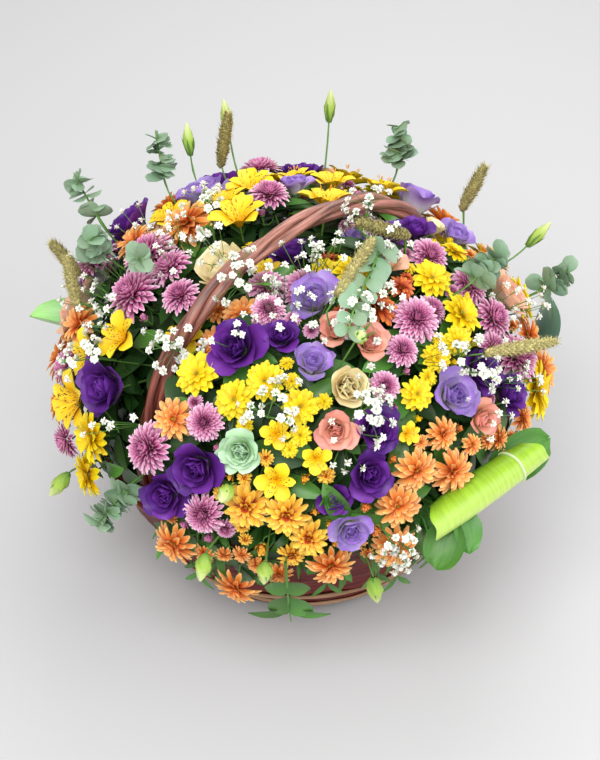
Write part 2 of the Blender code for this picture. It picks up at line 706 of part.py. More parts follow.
def crowd(points, radii, line):
    # Neighbours ease apart over the dome, each by no more than half its own radius.
    start = points.copy()
    reach = np.linalg.norm(dome_share(points), axis=1, keepdims=True)
    for _ in range(60):
        away = points[:, None, :] - points[None, :, :]
        apart = np.sqrt((away ** 2).sum(2)) + np.eye(len(points))
        lack = np.clip(radii[:, None] + radii[None, :] + ROOM - apart, 0, None)
        np.fill_diagonal(lack, 0.0)
        points = points + 0.2 * (away / apart[:, :, None] * lack[:, :, None]).sum(1)
        shift = points - start
        length = np.linalg.norm(shift, axis=1, keepdims=True) + 1e-9
        points = start + shift * np.minimum(1.0, 0.5 * radii[:, None] / length)
        share = dome_share(points)
        points = from_dome_share(share / np.linalg.norm(share, axis=1, keepdims=True) * reach)
    # What would touch the handle stands lower, so that the handle passes over it.
    for i in range(len(points)):
        near = HANDLE_BUNDLE + radii[i] + 2 * ROOM
        if math.hypot(points[i][0], points[i][1]) < HAND_WIDTH / 2 + radii[i]:
            near += HAND_ROOM
        while distance_to_handle(points[i:i + 1], line)[0] < near and reach[i] > 0.6:
            reach[i] -= 0.01
            share = dome_share(points[i:i + 1])
            points[i] = from_dome_share(share / np.linalg.norm(share) * reach[i])[0]
    # What hangs low stands clear of the rim and the wall.
    for i in range(len(points)):
        while not clear_of_holder(Vector(points[i]), radii[i]):
            outward = np.array((points[i][0], points[i][1], 0.0))
            points[i] = points[i] + 0.001 * outward / np.linalg.norm(outward)
    # The last overlaps go by making both blooms smaller.
    radii = np.minimum(radii, distance_to_handle(points, line) - HANDLE_BUNDLE - ROOM)
    for i in range(len(points)):
        for j in range(i):
            apart = np.linalg.norm(points[i] - points[j]) - ROOM
            if radii[i] + radii[j] > apart:
                shrink = apart / (radii[i] + radii[j])
                radii[i] *= shrink
                radii[j] *= shrink
    return points, radii


def clear_of_holder(point, radius):
    out = math.hypot(point.x, point.y)
    edge = foam_radius(FOAM_SHOULDER)
    if point.z >= FOAM_SHOULDER:
        level = (point.z - FOAM_SHOULDER) / (FOAM_RISE + radius)
        if (out / (edge + radius)) ** 2 + level ** 2 < 1.0:
            return False
    rim = math.hypot(out - RIM_RADIUS, point.z - RIM_HEIGHT)
    if rim < RIM_ROD + radius + 2 * ROOM:
        return False
    if point.z < RIM_HEIGHT:
        return out > wall_radius(point.z) + 0.005 + radius + 2 * ROOM
    return True


class Taken:
    # Round-ended rods of space that are already used, each with its owner.
    def __init__(self):
        self.starts, self.ends, self.radii, self.owners = [], [], [], []

    def add(self, start, end, radius, owner):
        self.starts.append(tuple(start))
        self.ends.append(tuple(end))
        self.radii.append(radius)
        self.owners.append(owner)

    def free(self, start, end, radius, ignore=()):
        p, d = np.array(start), np.array(end) - np.array(start)
        q, e = np.array(self.starts), np.array(self.ends) - np.array(self.starts)
        w = q - p
        a, c = max(d @ d, 1e-12), np.maximum((e * e).sum(1), 1e-12)
        b, dw, ew = e @ d, w @ d, (w * e).sum(1)
        denominator = np.maximum(a * c - b * b, 1e-12)
        s = np.clip((dw * c - b * ew) / denominator, 0, 1)
        t = np.clip((s * b - ew) / c, 0, 1)
        s = np.clip((dw + t * b) / a, 0, 1)
        gap = np.linalg.norm(p + s[:, None] * d - q - t[:, None] * e, axis=1)
        short = gap < np.array(self.radii) + radius + ROOM
        for k in np.nonzero(short)[0]:
            if self.owners[k] not in ignore:
                return False
        return True


def path_free(taken, points, radius, ignore):
    for start, end in zip(points, points[1:]):
        if not taken.free(start, end, radius, ignore):
            return False
        steps = max(2, int((end - start).length / 0.004))
        for k in range(steps + 1):
            if not clear_of_holder(start.lerp(end, k / steps), radius):
                return False
    return True


def foam_mouth(way):
    # Where a straight stem that points at the focus comes out of the foam.
    edge = foam_radius(FOAM_SHOULDER)
    scale = Vector((1 / edge, 1 / edge, 1 / FOAM_RISE))
    start = (STEM_FOCUS - Vector((0, 0, FOAM_SHOULDER))) * scale
    step = way * scale
    a, b, c = step.dot(step), start.dot(step), start.dot(start) - 1.0
    return STEM_FOCUS + way * ((-b + math.sqrt(b * b - a * c)) / a)


def ways_in(foot, fork):
    # Routes from the fork to the point where a bloom or a sprig starts: straight, with a
    # knee under it, or over the rim for what hangs.
    routes = [[fork, foot]]
    share = dome_share(np.array(foot))
    length = np.linalg.norm(share)
    for knee in (0.80, 0.72, 0.64, 0.57):
        if knee < length:
            routes.append([fork, Vector(from_dome_share(share / length * knee)), foot])
    out = Vector((foot.x, foot.y, 0)).normalized()
    for crest_height, crest_out in ((0.190, 0.222), (0.198, 0.214), (0.206, 0.226), (0.214, 0.205)):
        crest = out * crest_out + Vector((0, 0, crest_height))
        knee = out * 0.180 + Vector((0, 0, crest_height + 0.008))
        routes.append([fork, knee, crest, foot])
    facing = facing_at(foot)
    return [route for route in routes if (foot - route[-2]).normalized().dot(facing) > 0.45]


def root_spray(name, feet, taken, draw, radius=SIDE_STEM):
    # Finds a plain straight hole in the foam and a fork above it from which every foot can
    # be reached without touching anything else. feet holds (point, owner) pairs.
    middle = sum((foot for foot, owner in feet), Vector()) / len(feet) - STEM_FOCUS
    middle.z = max(middle.z, 0.35 * math.hypot(middle.x, middle.y))
    for attempt in range(1500):
        spread = 0.05 + 0.45 * attempt / 1500
        way = middle.normalized() + Vector([draw.gauss(0, spread) for _ in range(3)])
        way.normalize()
        if way.z < 0.38:
            continue
        mouth = foam_mouth(way)
        foot = mouth - way * STEM_DEPTH
        fork = mouth + way * draw.uniform(0.010, 0.025)
        top = fork + way * FORK_STEP * (len(feet) - 1)
        if not taken.free(foot, top, MAIN_STEM + 0.0009, (name,)):
            continue
        routes = []
        for k, (target, owner) in enumerate(feet):
            found = next((route for route in ways_in(target, fork + way * FORK_STEP * k)
                          if path_free(taken, route, radius, (name, owner))), None)
            if found is None:
                break
            routes.append(found)
        if len(routes) == len(feet):
            taken.add(foot, top, MAIN_STEM + 0.0009, name)
            for route in routes:
                for start, end in zip(route, route[1:]):
                    taken.add(start, end, radius, name)
            return foot, mouth + way * 0.004, top, way, routes
    raise RuntimeError(f"no room for {name}")


# ---- Sprigs

def leaf_pairs(start, end, name, taken):
    # Round leaves in crossed pairs, each where there is room for it.
    axis = (end - start).normalized()
    pairs = max(2, int((end - start).length / 0.030))
    leaves = []
    for pair in range(pairs):
        at = start.lerp(end, (pair + 0.6) / pairs)
        size = 0.0145 * (1.0 - 0.35 * pair / pairs)
        side_way = frame_on(axis, pair * 1.45 + 0.4) @ Vector((1, 0, 0))
        for side in (1, -1):
            way = (side_way * side + axis * (0.45 + 0.1 * side)).normalized()
            centre = at + way * size * 0.94 + axis * side * 0.0021
            if taken.free(centre, centre, size, (name,)) and clear_of_holder(centre, size):
                normal = way.cross(side_way.cross(axis)).normalized()
                leaves.append(lens(centre, normal, way, size))
                taken.add(centre, centre, size, name)
    return leaves


def floret_tips(start, end, name, taken, draw):
    tips = []
    for _ in range(80):
        tip = end + Vector([draw.gauss(0, 0.013) for _ in range(3)])
        heart = start.lerp(tip, 0.85)
        if len(tips) < 3 and (tip - start).length > 0.012 and clear_of_holder(tip, 0.005) \
                and taken.free(heart, tip, FLORET_RADIUS, (name,)) \
                and taken.free(start, tip, FINE_STEM, (name,)) \
                and all((tip - other).length > 2.4 * FLORET_RADIUS for other in tips):
            taken.add(tip, tip, FLORET_RADIUS, name)
            taken.add(start, tip, FINE_STEM, name)
            tips.append(tip)
    return tips


def sprig(kind, start, end, name, taken, draw):
    # Returns what builds the sprig once its stem's route is known.
    if kind == "round_leaf":
        leaves = leaf_pairs(start, end, name, taken)
        return lambda route: [stem(route + [(end, FINE_STEM)])] + leaves
    if kind == "floret":
        tips = floret_tips(start, end, name, taken, draw)
        lead = (end - start).normalized() * 0.0016
        return lambda route: ([stem(route + [(start + lead * len(tips), SPRIG_STEM)])]
                              + [floret(start + lead * k, tip) for k, tip in enumerate(tips)])
    if kind == "bud":
        return lambda route: [bud(route, end)]
    return lambda route: [grass_head(route, end)]


SPRIG_WIDTH = {"round_leaf": SIDE_STEM, "floret": 0.002, "bud": 0.0072, "grass_head": 0.0088}
LAYER_INSIDE = 0.72      # share of the dome where a sprig's own stem starts outward


def under(point, share=LAYER_INSIDE):
    away = dome_share(np.array(point))
    return Vector(from_dome_share(away / np.linalg.norm(away) * share))


def place_sprig(kind, ends, name, taken, draw):
    # Nudges a sprig until its line, and its stem down between the blooms, are clear.
    width = SPRIG_WIDTH[kind]
    for attempt in range(6000):
        loose = 0.3 + 16.0 * attempt / 6000
        turn, rise = draw.gauss(0, loose), draw.gauss(0, loose)
        lift_off = 0.10 * attempt / 6000
        (az1, up1, out1), (az2, up2, out2) = ends
        start = spot(az1 + turn, up1 + rise, out1 + lift_off)
        end = spot(az2 + turn, up2 + rise, out2 + lift_off)
        if not taken.free(start, end, width):
            continue
        if start.z < RIM_HEIGHT + 0.020 or path_free(taken, [under(start), start], SPRIG_STEM, ()):
            if path_free(taken, [start, end], width, ()):
                return start, end
    raise RuntimeError(f"no place for a sprig of {name}")


def place_leaf(name, taken, draw):
    base, tip, width, fold, colour_name = LEAVES[name]
    for attempt in range(8000):
        loose = 0.3 + 12.0 * attempt / 8000
        turn, rise = draw.gauss(0, loose), draw.gauss(0, loose)
        lift_off = 0.14 * attempt / 8000
        start = spot(base[0] + turn, base[1] + rise, base[2] + lift_off)
        end = spot(tip[0] + turn, tip[1] + rise, tip[2] + lift_off)
        along = (end - start).normalized()
        facing = facing_at(start.lerp(end, 0.5))
        if abs(facing.dot(along)) > 0.7:
            facing = Vector((0, 0, 1))
        across = facing.cross(along).normalized()
        normal = along.cross(across)
        lines = []
        for side in (-0.5, -0.25, 0, 0.25, 0.5):
            offset = across * side * width + normal * abs(side) * width * fold
            trim = (0.0, 0.12, 0.30)[int(abs(side) * 4)]
            lines.append((start.lerp(end, trim) + offset, start.lerp(end, 1 - trim) + offset))
        clear = all(path_free(taken, list(pair), 0.0035, ()) for pair in lines)
        if clear and path_free(taken, [under(start, 0.64), start], SIDE_STEM, ()):
            for low, high in lines:
                taken.add(low, high, 0.0035, name + "_0")
            shape = blade(start, end, normal, width, fold)
            onward = start + along * 0.006
            return start, lambda route: [stem(route[:-1] + [(onward, SIDE_STEM)]), shape]
    raise RuntimeError(f"no place for {name}")


# ---- The whole planting

def settled_blooms(taken, line):
    entries = []
    for name, (kind, colour_name, stands) in BUNCHES.items():
        for azimuth, lift, *more in stands:
            reach, size = (more + [1.0, 1.0])[:2] if len(more) != 1 else (more[0], 1.0)
            entries.append((name, kind, spot(azimuth, lift, reach), BLOOMS[kind]["size"] * size))
    points = np.array([tuple(entry[2]) for entry in entries])
    radii = np.array([entry[3] for entry in entries])
    points, radii = crowd(points, radii, line)
    print("blooms", len(entries), "least and mean radius in mm",
          round(radii.min() * 1000, 1), round(radii.mean() * 1000, 1))
    blooms = {name: [] for name in BUNCHES}
    for index, (name, kind, start, size) in enumerate(entries):
        centre = Vector(points[index])
        taken.add(centre, centre, radii[index], f"{name}_{len(blooms[name])}")
        blooms[name].append((kind, centre, radii[index]))
    return blooms


def plant():
    draw = random.Random(SEED)
    line = np.array([tuple(point) for point in even_line(handle_line, 160)[0]])
    taken = Taken()
    for first, second in zip(line, line[1:]):
        taken.add(first, second, HANDLE_BUNDLE, "handle")
    hand_height = HANDLE_APEX - HANDLE_BUNDLE - HAND_ROOM / 2
    hand_side = Vector((HAND_WIDTH / 2 - HAND_ROOM / 2, 0, 0))
    middle = Vector((0, 0, hand_height))
    taken.add(middle - hand_side, middle + hand_side, HAND_ROOM / 2, "hand")

    # Each spray is a colour, the points that its stems must reach, their radius, and for
    # each point a function that builds what stands there from the stem's route.
    sprays = {}
    for name, members in settled_blooms(taken, line).items():
        feet, growers = [], []
        for kind, centre, radius in members:
            facing = facing_at(centre)
            settings = (kind, centre, facing, radius, draw.uniform(0, 6.28))
            feet.append(centre + facing * BLOOMS[kind]["bottom"] * radius)
            growers.append(lambda route, settings=settings: [bloom(*settings, route)])
        sprays[name] = (BUNCHES[name][1], feet, SIDE_STEM, growers)
    for name in LEAVES:
        start, grower = place_leaf(name, taken, draw)
        sprays[name] = (LEAVES[name][4], [start], SIDE_STEM, [grower])
    for name, (kind, colour_name, ends) in SPRIGS.items():
        lines = []
        for pair in ends:
            start, end = place_sprig(kind, pair, name, taken, draw)
            taken.add(start, end, SPRIG_WIDTH[kind], f"{name}_{len(lines)}")
            lines.append((start, end))
        growers = [sprig(kind, start, end, f"{name}_{k}", taken, draw)
                   for k, (start, end) in enumerate(lines)]
        feet = [start for start, end in lines]
        sprays[name] = (colour_name, feet, SPRIG_STEM, growers)

    # The widest sprays take their way through first.
    def width(name):
        return max((a - b).length for a in sprays[name][1] for b in sprays[name][1])

    holes = []
    for name in sorted(sprays, key=width, reverse=True):
        colour_name, feet, radius, growers = sprays[name]
        targets = [(foot, f"{name}_{k}") for k, foot in enumerate(feet)]
        bottom, mouth, top, way, routes = root_spray(name, targets, taken, draw, radius)
        holes.append((bottom - way * 2 * GAP, mouth))
        stems = [[(point, radius) for point in route] for route in routes]
        # The last stem to leave is the main one, which runs on.
        stems[-1][:1] = [(bottom, MAIN_STEM), (top, radius + GAP)]
        shapes = []
        for route, grower in zip(stems[::-1], growers[::-1]):
            shapes += grower(route)
        fuse(name, shapes, colour_name)
    return holes


def main():
    for old in list(bpy.data.objects):
        bpy.data.objects.remove(old)
    basket_wall()
    basket_rim()
    basket_bands()
    handle_rods()
    liner()
    holes = plant()
    foam(holes)


main()
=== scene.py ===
import math

import bmesh
import bpy
import numpy as np
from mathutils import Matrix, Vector


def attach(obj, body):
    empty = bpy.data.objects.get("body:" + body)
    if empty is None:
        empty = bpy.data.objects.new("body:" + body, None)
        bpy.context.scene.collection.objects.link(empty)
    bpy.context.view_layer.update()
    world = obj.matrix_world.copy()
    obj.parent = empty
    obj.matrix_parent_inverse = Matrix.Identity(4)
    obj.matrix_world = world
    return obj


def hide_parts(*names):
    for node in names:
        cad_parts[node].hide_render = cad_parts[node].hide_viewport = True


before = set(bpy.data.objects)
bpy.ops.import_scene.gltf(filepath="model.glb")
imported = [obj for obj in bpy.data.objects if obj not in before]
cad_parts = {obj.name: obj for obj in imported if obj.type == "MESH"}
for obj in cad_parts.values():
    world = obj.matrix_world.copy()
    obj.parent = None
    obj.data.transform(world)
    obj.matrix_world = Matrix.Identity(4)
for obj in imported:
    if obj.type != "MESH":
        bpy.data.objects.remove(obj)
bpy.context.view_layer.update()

dice = np.random.default_rng(41)
turnStep = math.pi * (3 - math.sqrt(5))        # from one petal of a spiral to the next


# The camera, the floor sheet and the lamps.
studio = {
    "cameraAt": (0.0, -1.2633, 1.3375),
    "lookAt": (0.0, 0.0, 0.200),
    "lens": 76.5,
    "sensor": 36.0,
    "sheet": 6.0,                      # half the floor's side
    "floor": (0.60, 0.60, 0.605),
    "roughness": 0.9,
    "sky": 0.60,
    "lampsLookAt": (0, 0, 0.2),
    "lamps": {                         # place, power, size
        "key": ((-0.35, -1.2, 2.0), 35.0, 1.3),
        "fill": ((1.4, -0.9, 1.2), 13.0, 1.4),
        "back": ((0.3, 1.3, 1.6), 14.0, 1.2),
    },
}


def setCamera():
    camera = bpy.data.objects.new("camera", bpy.data.cameras.new("camera"))
    bpy.context.scene.collection.objects.link(camera)
    camera.location = studio["cameraAt"]
    aim = Vector(studio["lookAt"]) - Vector(studio["cameraAt"])
    camera.rotation_euler = aim.to_track_quat("-Z", "Y").to_euler()
    camera.data.lens = studio["lens"]
    camera.data.sensor_width = studio["sensor"]
    bpy.context.scene.camera = camera
    bpy.context.scene.view_settings.view_transform = "Standard"


def layFloor():
    side = studio["sheet"]
    sheet = bpy.data.meshes.new("floor")
    sheet.from_pydata([(-side, -side, 0), (side, -side, 0), (side, side, 0), (-side, side, 0)], [],
                      [(0, 1, 2, 3)])
    floor = bpy.data.objects.new("floor", sheet)
    bpy.context.scene.collection.objects.link(floor)
    paper, tree, shader = newFinish("studioPaper", studio["roughness"])
    shader.inputs["Base Color"].default_value = (*studio["floor"], 1)
    sheet.materials.append(paper)


def setLights():
    world = bpy.data.worlds.new("studio")
    bpy.context.scene.world = world
    world.use_nodes = True
    world.node_tree.nodes["Background"].inputs["Color"].default_value = (1, 1, 1, 1)
    world.node_tree.nodes["Background"].inputs["Strength"].default_value = studio["sky"]
    for name, (place, power, size) in studio["lamps"].items():
        light = bpy.data.lights.new(name, "AREA")
        light.energy = power
        light.size = size
        lamp = bpy.data.objects.new(name, light)
        bpy.context.scene.collection.objects.link(lamp)
        lamp.location = place
        aim = Vector(studio["lampsLookAt"]) - Vector(place)
        lamp.rotation_euler = aim.to_track_quat("-Z", "Y").to_euler()
    print("studio set")


# Every mesh carries "tone": how far along a petal, leaf or rod a point lies, how far across
# it, and a number of its own for each petal, leaf or rod. The finishes are made of it.
def newFinish(name, roughness):
    made = bpy.data.materials.new(name)
    made.use_nodes = True
    shader = made.node_tree.nodes["Principled BSDF"]
    shader.inputs["Roughness"].default_value = roughness
    return made, made.node_tree, shader


def node(tree, kind, **settings):
    made = tree.nodes.new(kind)
    for key, value in settings.items():
        setattr(made, key, value)
    return made


def maths(tree, operation, first, second, third=None):
    made = node(tree, "ShaderNodeMath", operation=operation)
    for socket, value in zip(made.inputs, (first, second, third)):
        if value is None:
            continue
        if isinstance(value, (int, float)):
            socket.default_value = value
        else:
            tree.links.new(value, socket)
    return made.outputs[0]


def toneParts(tree):
    tone = node(tree, "ShaderNodeAttribute", attribute_name="tone")
    parts = node(tree, "ShaderNodeSeparateXYZ")
    tree.links.new(tone.outputs["Vector"], parts.inputs[0])
    return parts.outputs


def ramp(tree, share, stops):
    made = node(tree, "ShaderNodeValToRGB")
    band = made.color_ramp
    while len(band.elements) < len(stops):
        band.elements.new(0.5)
    for element, (position, colour) in zip(band.elements, stops):
        element.position = position
        element.color = (*colour, 1)
    tree.links.new(share, made.inputs[0])
    return made.outputs[0]


def streaks(tree, parts, acrossScale, alongScale, detail=2.0):
    # Noise drawn out along the petal or rod, different on each.
    place = node(tree, "ShaderNodeCombineXYZ")
    tree.links.new(maths(tree, "MULTIPLY", parts[0], alongScale), place.inputs[0])
    tree.links.new(maths(tree, "MULTIPLY", parts[1], acrossScale), place.inputs[1])
    tree.links.new(maths(tree, "MULTIPLY", parts[2], 97.0), place.inputs[2])
    grain = node(tree, "ShaderNodeTexNoise")
    grain.inputs["Scale"].default_value = 1.0
    grain.inputs["Detail"].default_value = detail
    tree.links.new(place.outputs[0], grain.inputs["Vector"])
    return grain.outputs["Fac"]


def relief(tree, shader, grain, strength, depth):
    bump = node(tree, "ShaderNodeBump")
    bump.inputs["Strength"].default_value = strength
    bump.inputs["Distance"].default_value = depth
    tree.links.new(grain, bump.inputs["Height"])
    tree.links.new(bump.outputs[0], shader.inputs["Normal"])


def overlaid(tree, colour, share, other):
    # The colour, with another laid over it by share.
    made = node(tree, "ShaderNodeMixRGB")
    made.inputs["Color2"].default_value = (*other, 1)
    tree.links.new(share, made.inputs["Fac"])
    tree.links.new(colour, made.inputs["Color1"])
    return made.outputs[0]


petalLook = {
    "along": 2.2,                      # scale of the veins' noise along a petal
    "edge": 2.5,                       # larger keeps a pale edge narrower
    "dashes": (0.22, 0.78),            # where a lily's dark dashes begin and end
    "dashGrain": (5.5, 9.0),
    "dashLimit": 0.60,
    "dashColour": (0.16, 0.01, 0.0),
    "softness": (0.004, 0.003, 0.002),
    "depth": 0.0006,
}


def leafyFinish(name, stops, roughness=0.55, veins=9.0, contrast=0.35, hueSpread=0.02,
                valueSpread=0.25, soft=0.12, bump=0.25, dashes=False, edge=None):
    made, tree, shader = newFinish(name, roughness)
    parts = toneParts(tree)
    base = ramp(tree, parts[0], stops)
    grain = streaks(tree, parts, veins, petalLook["along"])
    own = node(tree, "ShaderNodeTexWhiteNoise", noise_dimensions="1D")
    tree.links.new(parts[2], own.inputs["W"])
    veined = maths(tree, "MULTIPLY_ADD", grain, contrast, 1.0 - 0.5 * contrast)
    varied = maths(tree, "MULTIPLY_ADD", own.outputs["Value"], valueSpread, 1.0 - 0.5 * valueSpread)
    light = maths(tree, "MULTIPLY", veined, varied)
    tint = node(tree, "ShaderNodeHueSaturation")
    hue = maths(tree, "MULTIPLY_ADD", own.outputs["Value"], hueSpread, 0.5 - 0.5 * hueSpread)
    tree.links.new(hue, tint.inputs["Hue"])
    tree.links.new(light, tint.inputs["Value"])
    tree.links.new(base, tint.inputs["Color"])
    colour = tint.outputs[0]
    if edge:
        # Petals pale at their edges.
        paleness, pale = edge
        side = maths(tree, "POWER", maths(tree, "ABSOLUTE", parts[1], 0.0), petalLook["edge"])
        share = maths(tree, "MULTIPLY", maths(tree, "MULTIPLY", side, parts[0]), paleness)
        colour = overlaid(tree, colour, share, pale)
    if dashes:
        # Dark dashes in the throat of a lily's upper petals.
        begin, end = petalLook["dashes"]
        marks = streaks(tree, parts, *petalLook["dashGrain"])
        near = maths(tree, "MULTIPLY", maths(tree, "LESS_THAN", parts[0], end),
                     maths(tree, "GREATER_THAN", parts[0], begin))
        share = maths(tree, "MULTIPLY", maths(tree, "GREATER_THAN", marks, petalLook["dashLimit"]), near)
        colour = overlaid(tree, colour, share, petalLook["dashColour"])
    tree.links.new(colour, shader.inputs["Base Color"])
    shader.inputs["Subsurface Weight"].default_value = soft
    shader.inputs["Subsurface Radius"].default_value = petalLook["softness"]
    relief(tree, shader, grain, bump, petalLook["depth"])
    return made


# Colours from the foot of a petal or leaf to its tip.
petalStops = {
    "yellowDaisies": ((0.0, (0.60, 0.30, 0.0)), (0.35, (0.88, 0.61, 0.0)), (1.0, (0.95, 0.78, 0.015))),
    "yellowAlstroemerias": ((0.0, (0.75, 0.36, 0.0)), (0.4, (0.95, 0.60, 0.0)), (1.0, (1.0, 0.78, 0.03))),
    "orangeMums": ((0.0, (0.42, 0.03, 0.005)), (0.30, (0.76, 0.16, 0.015)), (0.7, (0.87, 0.32, 0.05)),
                   (1.0, (0.93, 0.53, 0.19))),
    "rustMums": ((0.0, (0.20, 0.01, 0.003)), (0.45, (0.50, 0.06, 0.01)), (1.0, (0.80, 0.22, 0.05))),
    "goldMums": ((0.0, (0.42, 0.03, 0.0)), (0.36, (0.50, 0.05, 0.0)), (0.52, (0.92, 0.46, 0.02)),
                 (1.0, (0.97, 0.62, 0.06))),
    "pinkMums": ((0.0, (0.19, 0.008, 0.08)), (0.40, (0.50, 0.05, 0.26)), (0.75, (0.78, 0.26, 0.50)),
                 (1.0, (0.94, 0.65, 0.79))),
    "violetLisianthus": ((0.0, (0.45, 0.30, 0.40)), (0.25, (0.10, 0.012, 0.18)),
                         (1.0, (0.155, 0.030, 0.33))),
    "lilacLisianthus": ((0.0, (0.66, 0.64, 0.46)), (0.40, (0.64, 0.54, 0.72)), (0.75, (0.42, 0.27, 0.68)),
                        (1.0, (0.26, 0.115, 0.51))),
    "salmonRoses": ((0.0, (0.88, 0.60, 0.38)), (0.5, (0.94, 0.57, 0.42)), (1.0, (0.92, 0.40, 0.34))),
    "peachRoses": ((0.0, (0.80, 0.76, 0.40)), (0.5, (0.96, 0.70, 0.46)), (1.0, (0.95, 0.54, 0.40))),
    "creamRoses": ((0.0, (0.80, 0.52, 0.28)), (0.45, (0.96, 0.80, 0.46)), (1.0, (0.98, 0.90, 0.60))),
    "mintRose": ((0.0, (0.35, 0.55, 0.20)), (0.5, (0.50, 0.74, 0.42)), (1.0, (0.66, 0.86, 0.66))),
    "gypsophila": ((0.0, (0.62, 0.66, 0.40)), (0.35, (0.96, 0.96, 0.86)), (1.0, (1.0, 1.0, 0.95))),
    "eucalyptusLeaf": ((0.0, (0.14, 0.24, 0.10)), (0.3, (0.24, 0.37, 0.22)), (1.0, (0.30, 0.44, 0.30))),
    "grassSeed": ((0.0, (0.22, 0.17, 0.04)), (0.6, (0.42, 0.36, 0.13)), (1.0, (0.66, 0.60, 0.26))),
    "budGreen": ((0.0, (0.14, 0.30, 0.03)), (0.5, (0.40, 0.58, 0.08)), (1.0, (0.74, 0.80, 0.38))),
    # The stem green is dark at a stem's foot and lighter higher up: painted shade low among the blooms.
    "stemGreen": ((0.0, (0.06, 0.17, 0.02)), (1.0, (0.14, 0.30, 0.05))),
    # The darkest leaf finish is painted shade: a near-black copy of the leaf green for leaves deep between
    # the blooms and in the rim's skirt.
    "shadedLeaf": ((0.0, (0.012, 0.045, 0.008)), (1.0, (0.03, 0.10, 0.015))),
    "freshLeaf": ((0.0, (0.04, 0.13, 0.018)), (1.0, (0.09, 0.25, 0.035))),
    "discGreen": ((0.0, (0.30, 0.36, 0.02)), (1.0, (0.60, 0.55, 0.02))),
    "discAmber": ((0.0, (0.50, 0.20, 0.01)), (1.0, (0.90, 0.42, 0.04))),
    "paleLeaf": ((0.0, (0.10, 0.28, 0.16)), (0.5, (0.30, 0.56, 0.26)), (1.0, (0.38, 0.70, 0.18))),
    "blueLeaf": ((0.0, (0.08, 0.20, 0.12)), (0.5, (0.14, 0.34, 0.24)), (1.0, (0.20, 0.42, 0.30))),
    # The bright leaf's colours run round the rolled leaf, not along it: a painted highlight in the middle
    # of the roll and painted shade toward both curled edges.
    "brightLeaf": ((0.0, (0.10, 0.30, 0.02)), (0.3, (0.34, 0.62, 0.03)), (0.55, (0.62, 0.86, 0.20)),
                   (0.8, (0.36, 0.66, 0.03)), (1.0, (0.14, 0.36, 0.04))),
    "paleRib": ((0.0, (0.50, 0.62, 0.30)), (1.0, (0.72, 0.80, 0.52))),
}
petalStops["streakedYellow"] = petalStops["yellowAlstroemerias"]
finishChanges = {
    "pinkMums": dict(contrast=0.4, valueSpread=0.25, hueSpread=0.015, edge=(0.95, (1.0, 0.82, 0.92))),
    "orangeMums": dict(contrast=0.4, valueSpread=0.3, edge=(0.6, (1.0, 0.72, 0.36))),
    "rustMums": dict(contrast=0.4, valueSpread=0.4),
    "goldMums": dict(contrast=0.4, valueSpread=0.3, edge=(0.4, (1.0, 0.80, 0.30))),
    "violetLisianthus": dict(roughness=0.5, contrast=0.3, valueSpread=0.5, soft=0.05),
    "lilacLisianthus": dict(contrast=0.3, valueSpread=0.35, edge=(0.3, (0.80, 0.70, 0.95))),
    "eucalyptusLeaf": dict(roughness=0.65, contrast=0.25, veins=5.0, hueSpread=0.05),
    "grassSeed": dict(roughness=0.8, contrast=0.5, valueSpread=0.7, soft=0.0),
    "stemGreen": dict(roughness=0.5, soft=0.0),
    "shadedLeaf": dict(roughness=0.4, contrast=0.5, valueSpread=0.6, soft=0.0),
    "freshLeaf": dict(roughness=0.4, contrast=0.5, valueSpread=0.6, soft=0.0),
    "brightLeaf": dict(roughness=0.3, veins=22.0, contrast=0.5, bump=0.6),
    "paleLeaf": dict(roughness=0.4, veins=18.0, contrast=0.5, bump=0.5),
    "blueLeaf": dict(roughness=0.35, veins=18.0, contrast=0.4, bump=0.5),
    "yellowAlstroemerias": dict(contrast=0.3, valueSpread=0.15),
    "yellowDaisies": dict(contrast=0.4, valueSpread=0.2),
    "creamRoses": dict(contrast=0.15, valueSpread=0.08, hueSpread=0.01),
    "peachRoses": dict(contrast=0.2, valueSpread=0.1),
    "salmonRoses": dict(contrast=0.2, valueSpread=0.15),
    "mintRose": dict(contrast=0.2, valueSpread=0.1),
    "gypsophila": dict(contrast=0.1, valueSpread=0.05),
    "streakedYellow": dict(contrast=0.3, valueSpread=0.15, dashes=True),
}
finishes = {}


def finish(name):
    if name not in finishes:
        finishes[name] = leafyFinish(name, petalStops[name], **finishChanges.get(name, {}))
    return finishes[name]


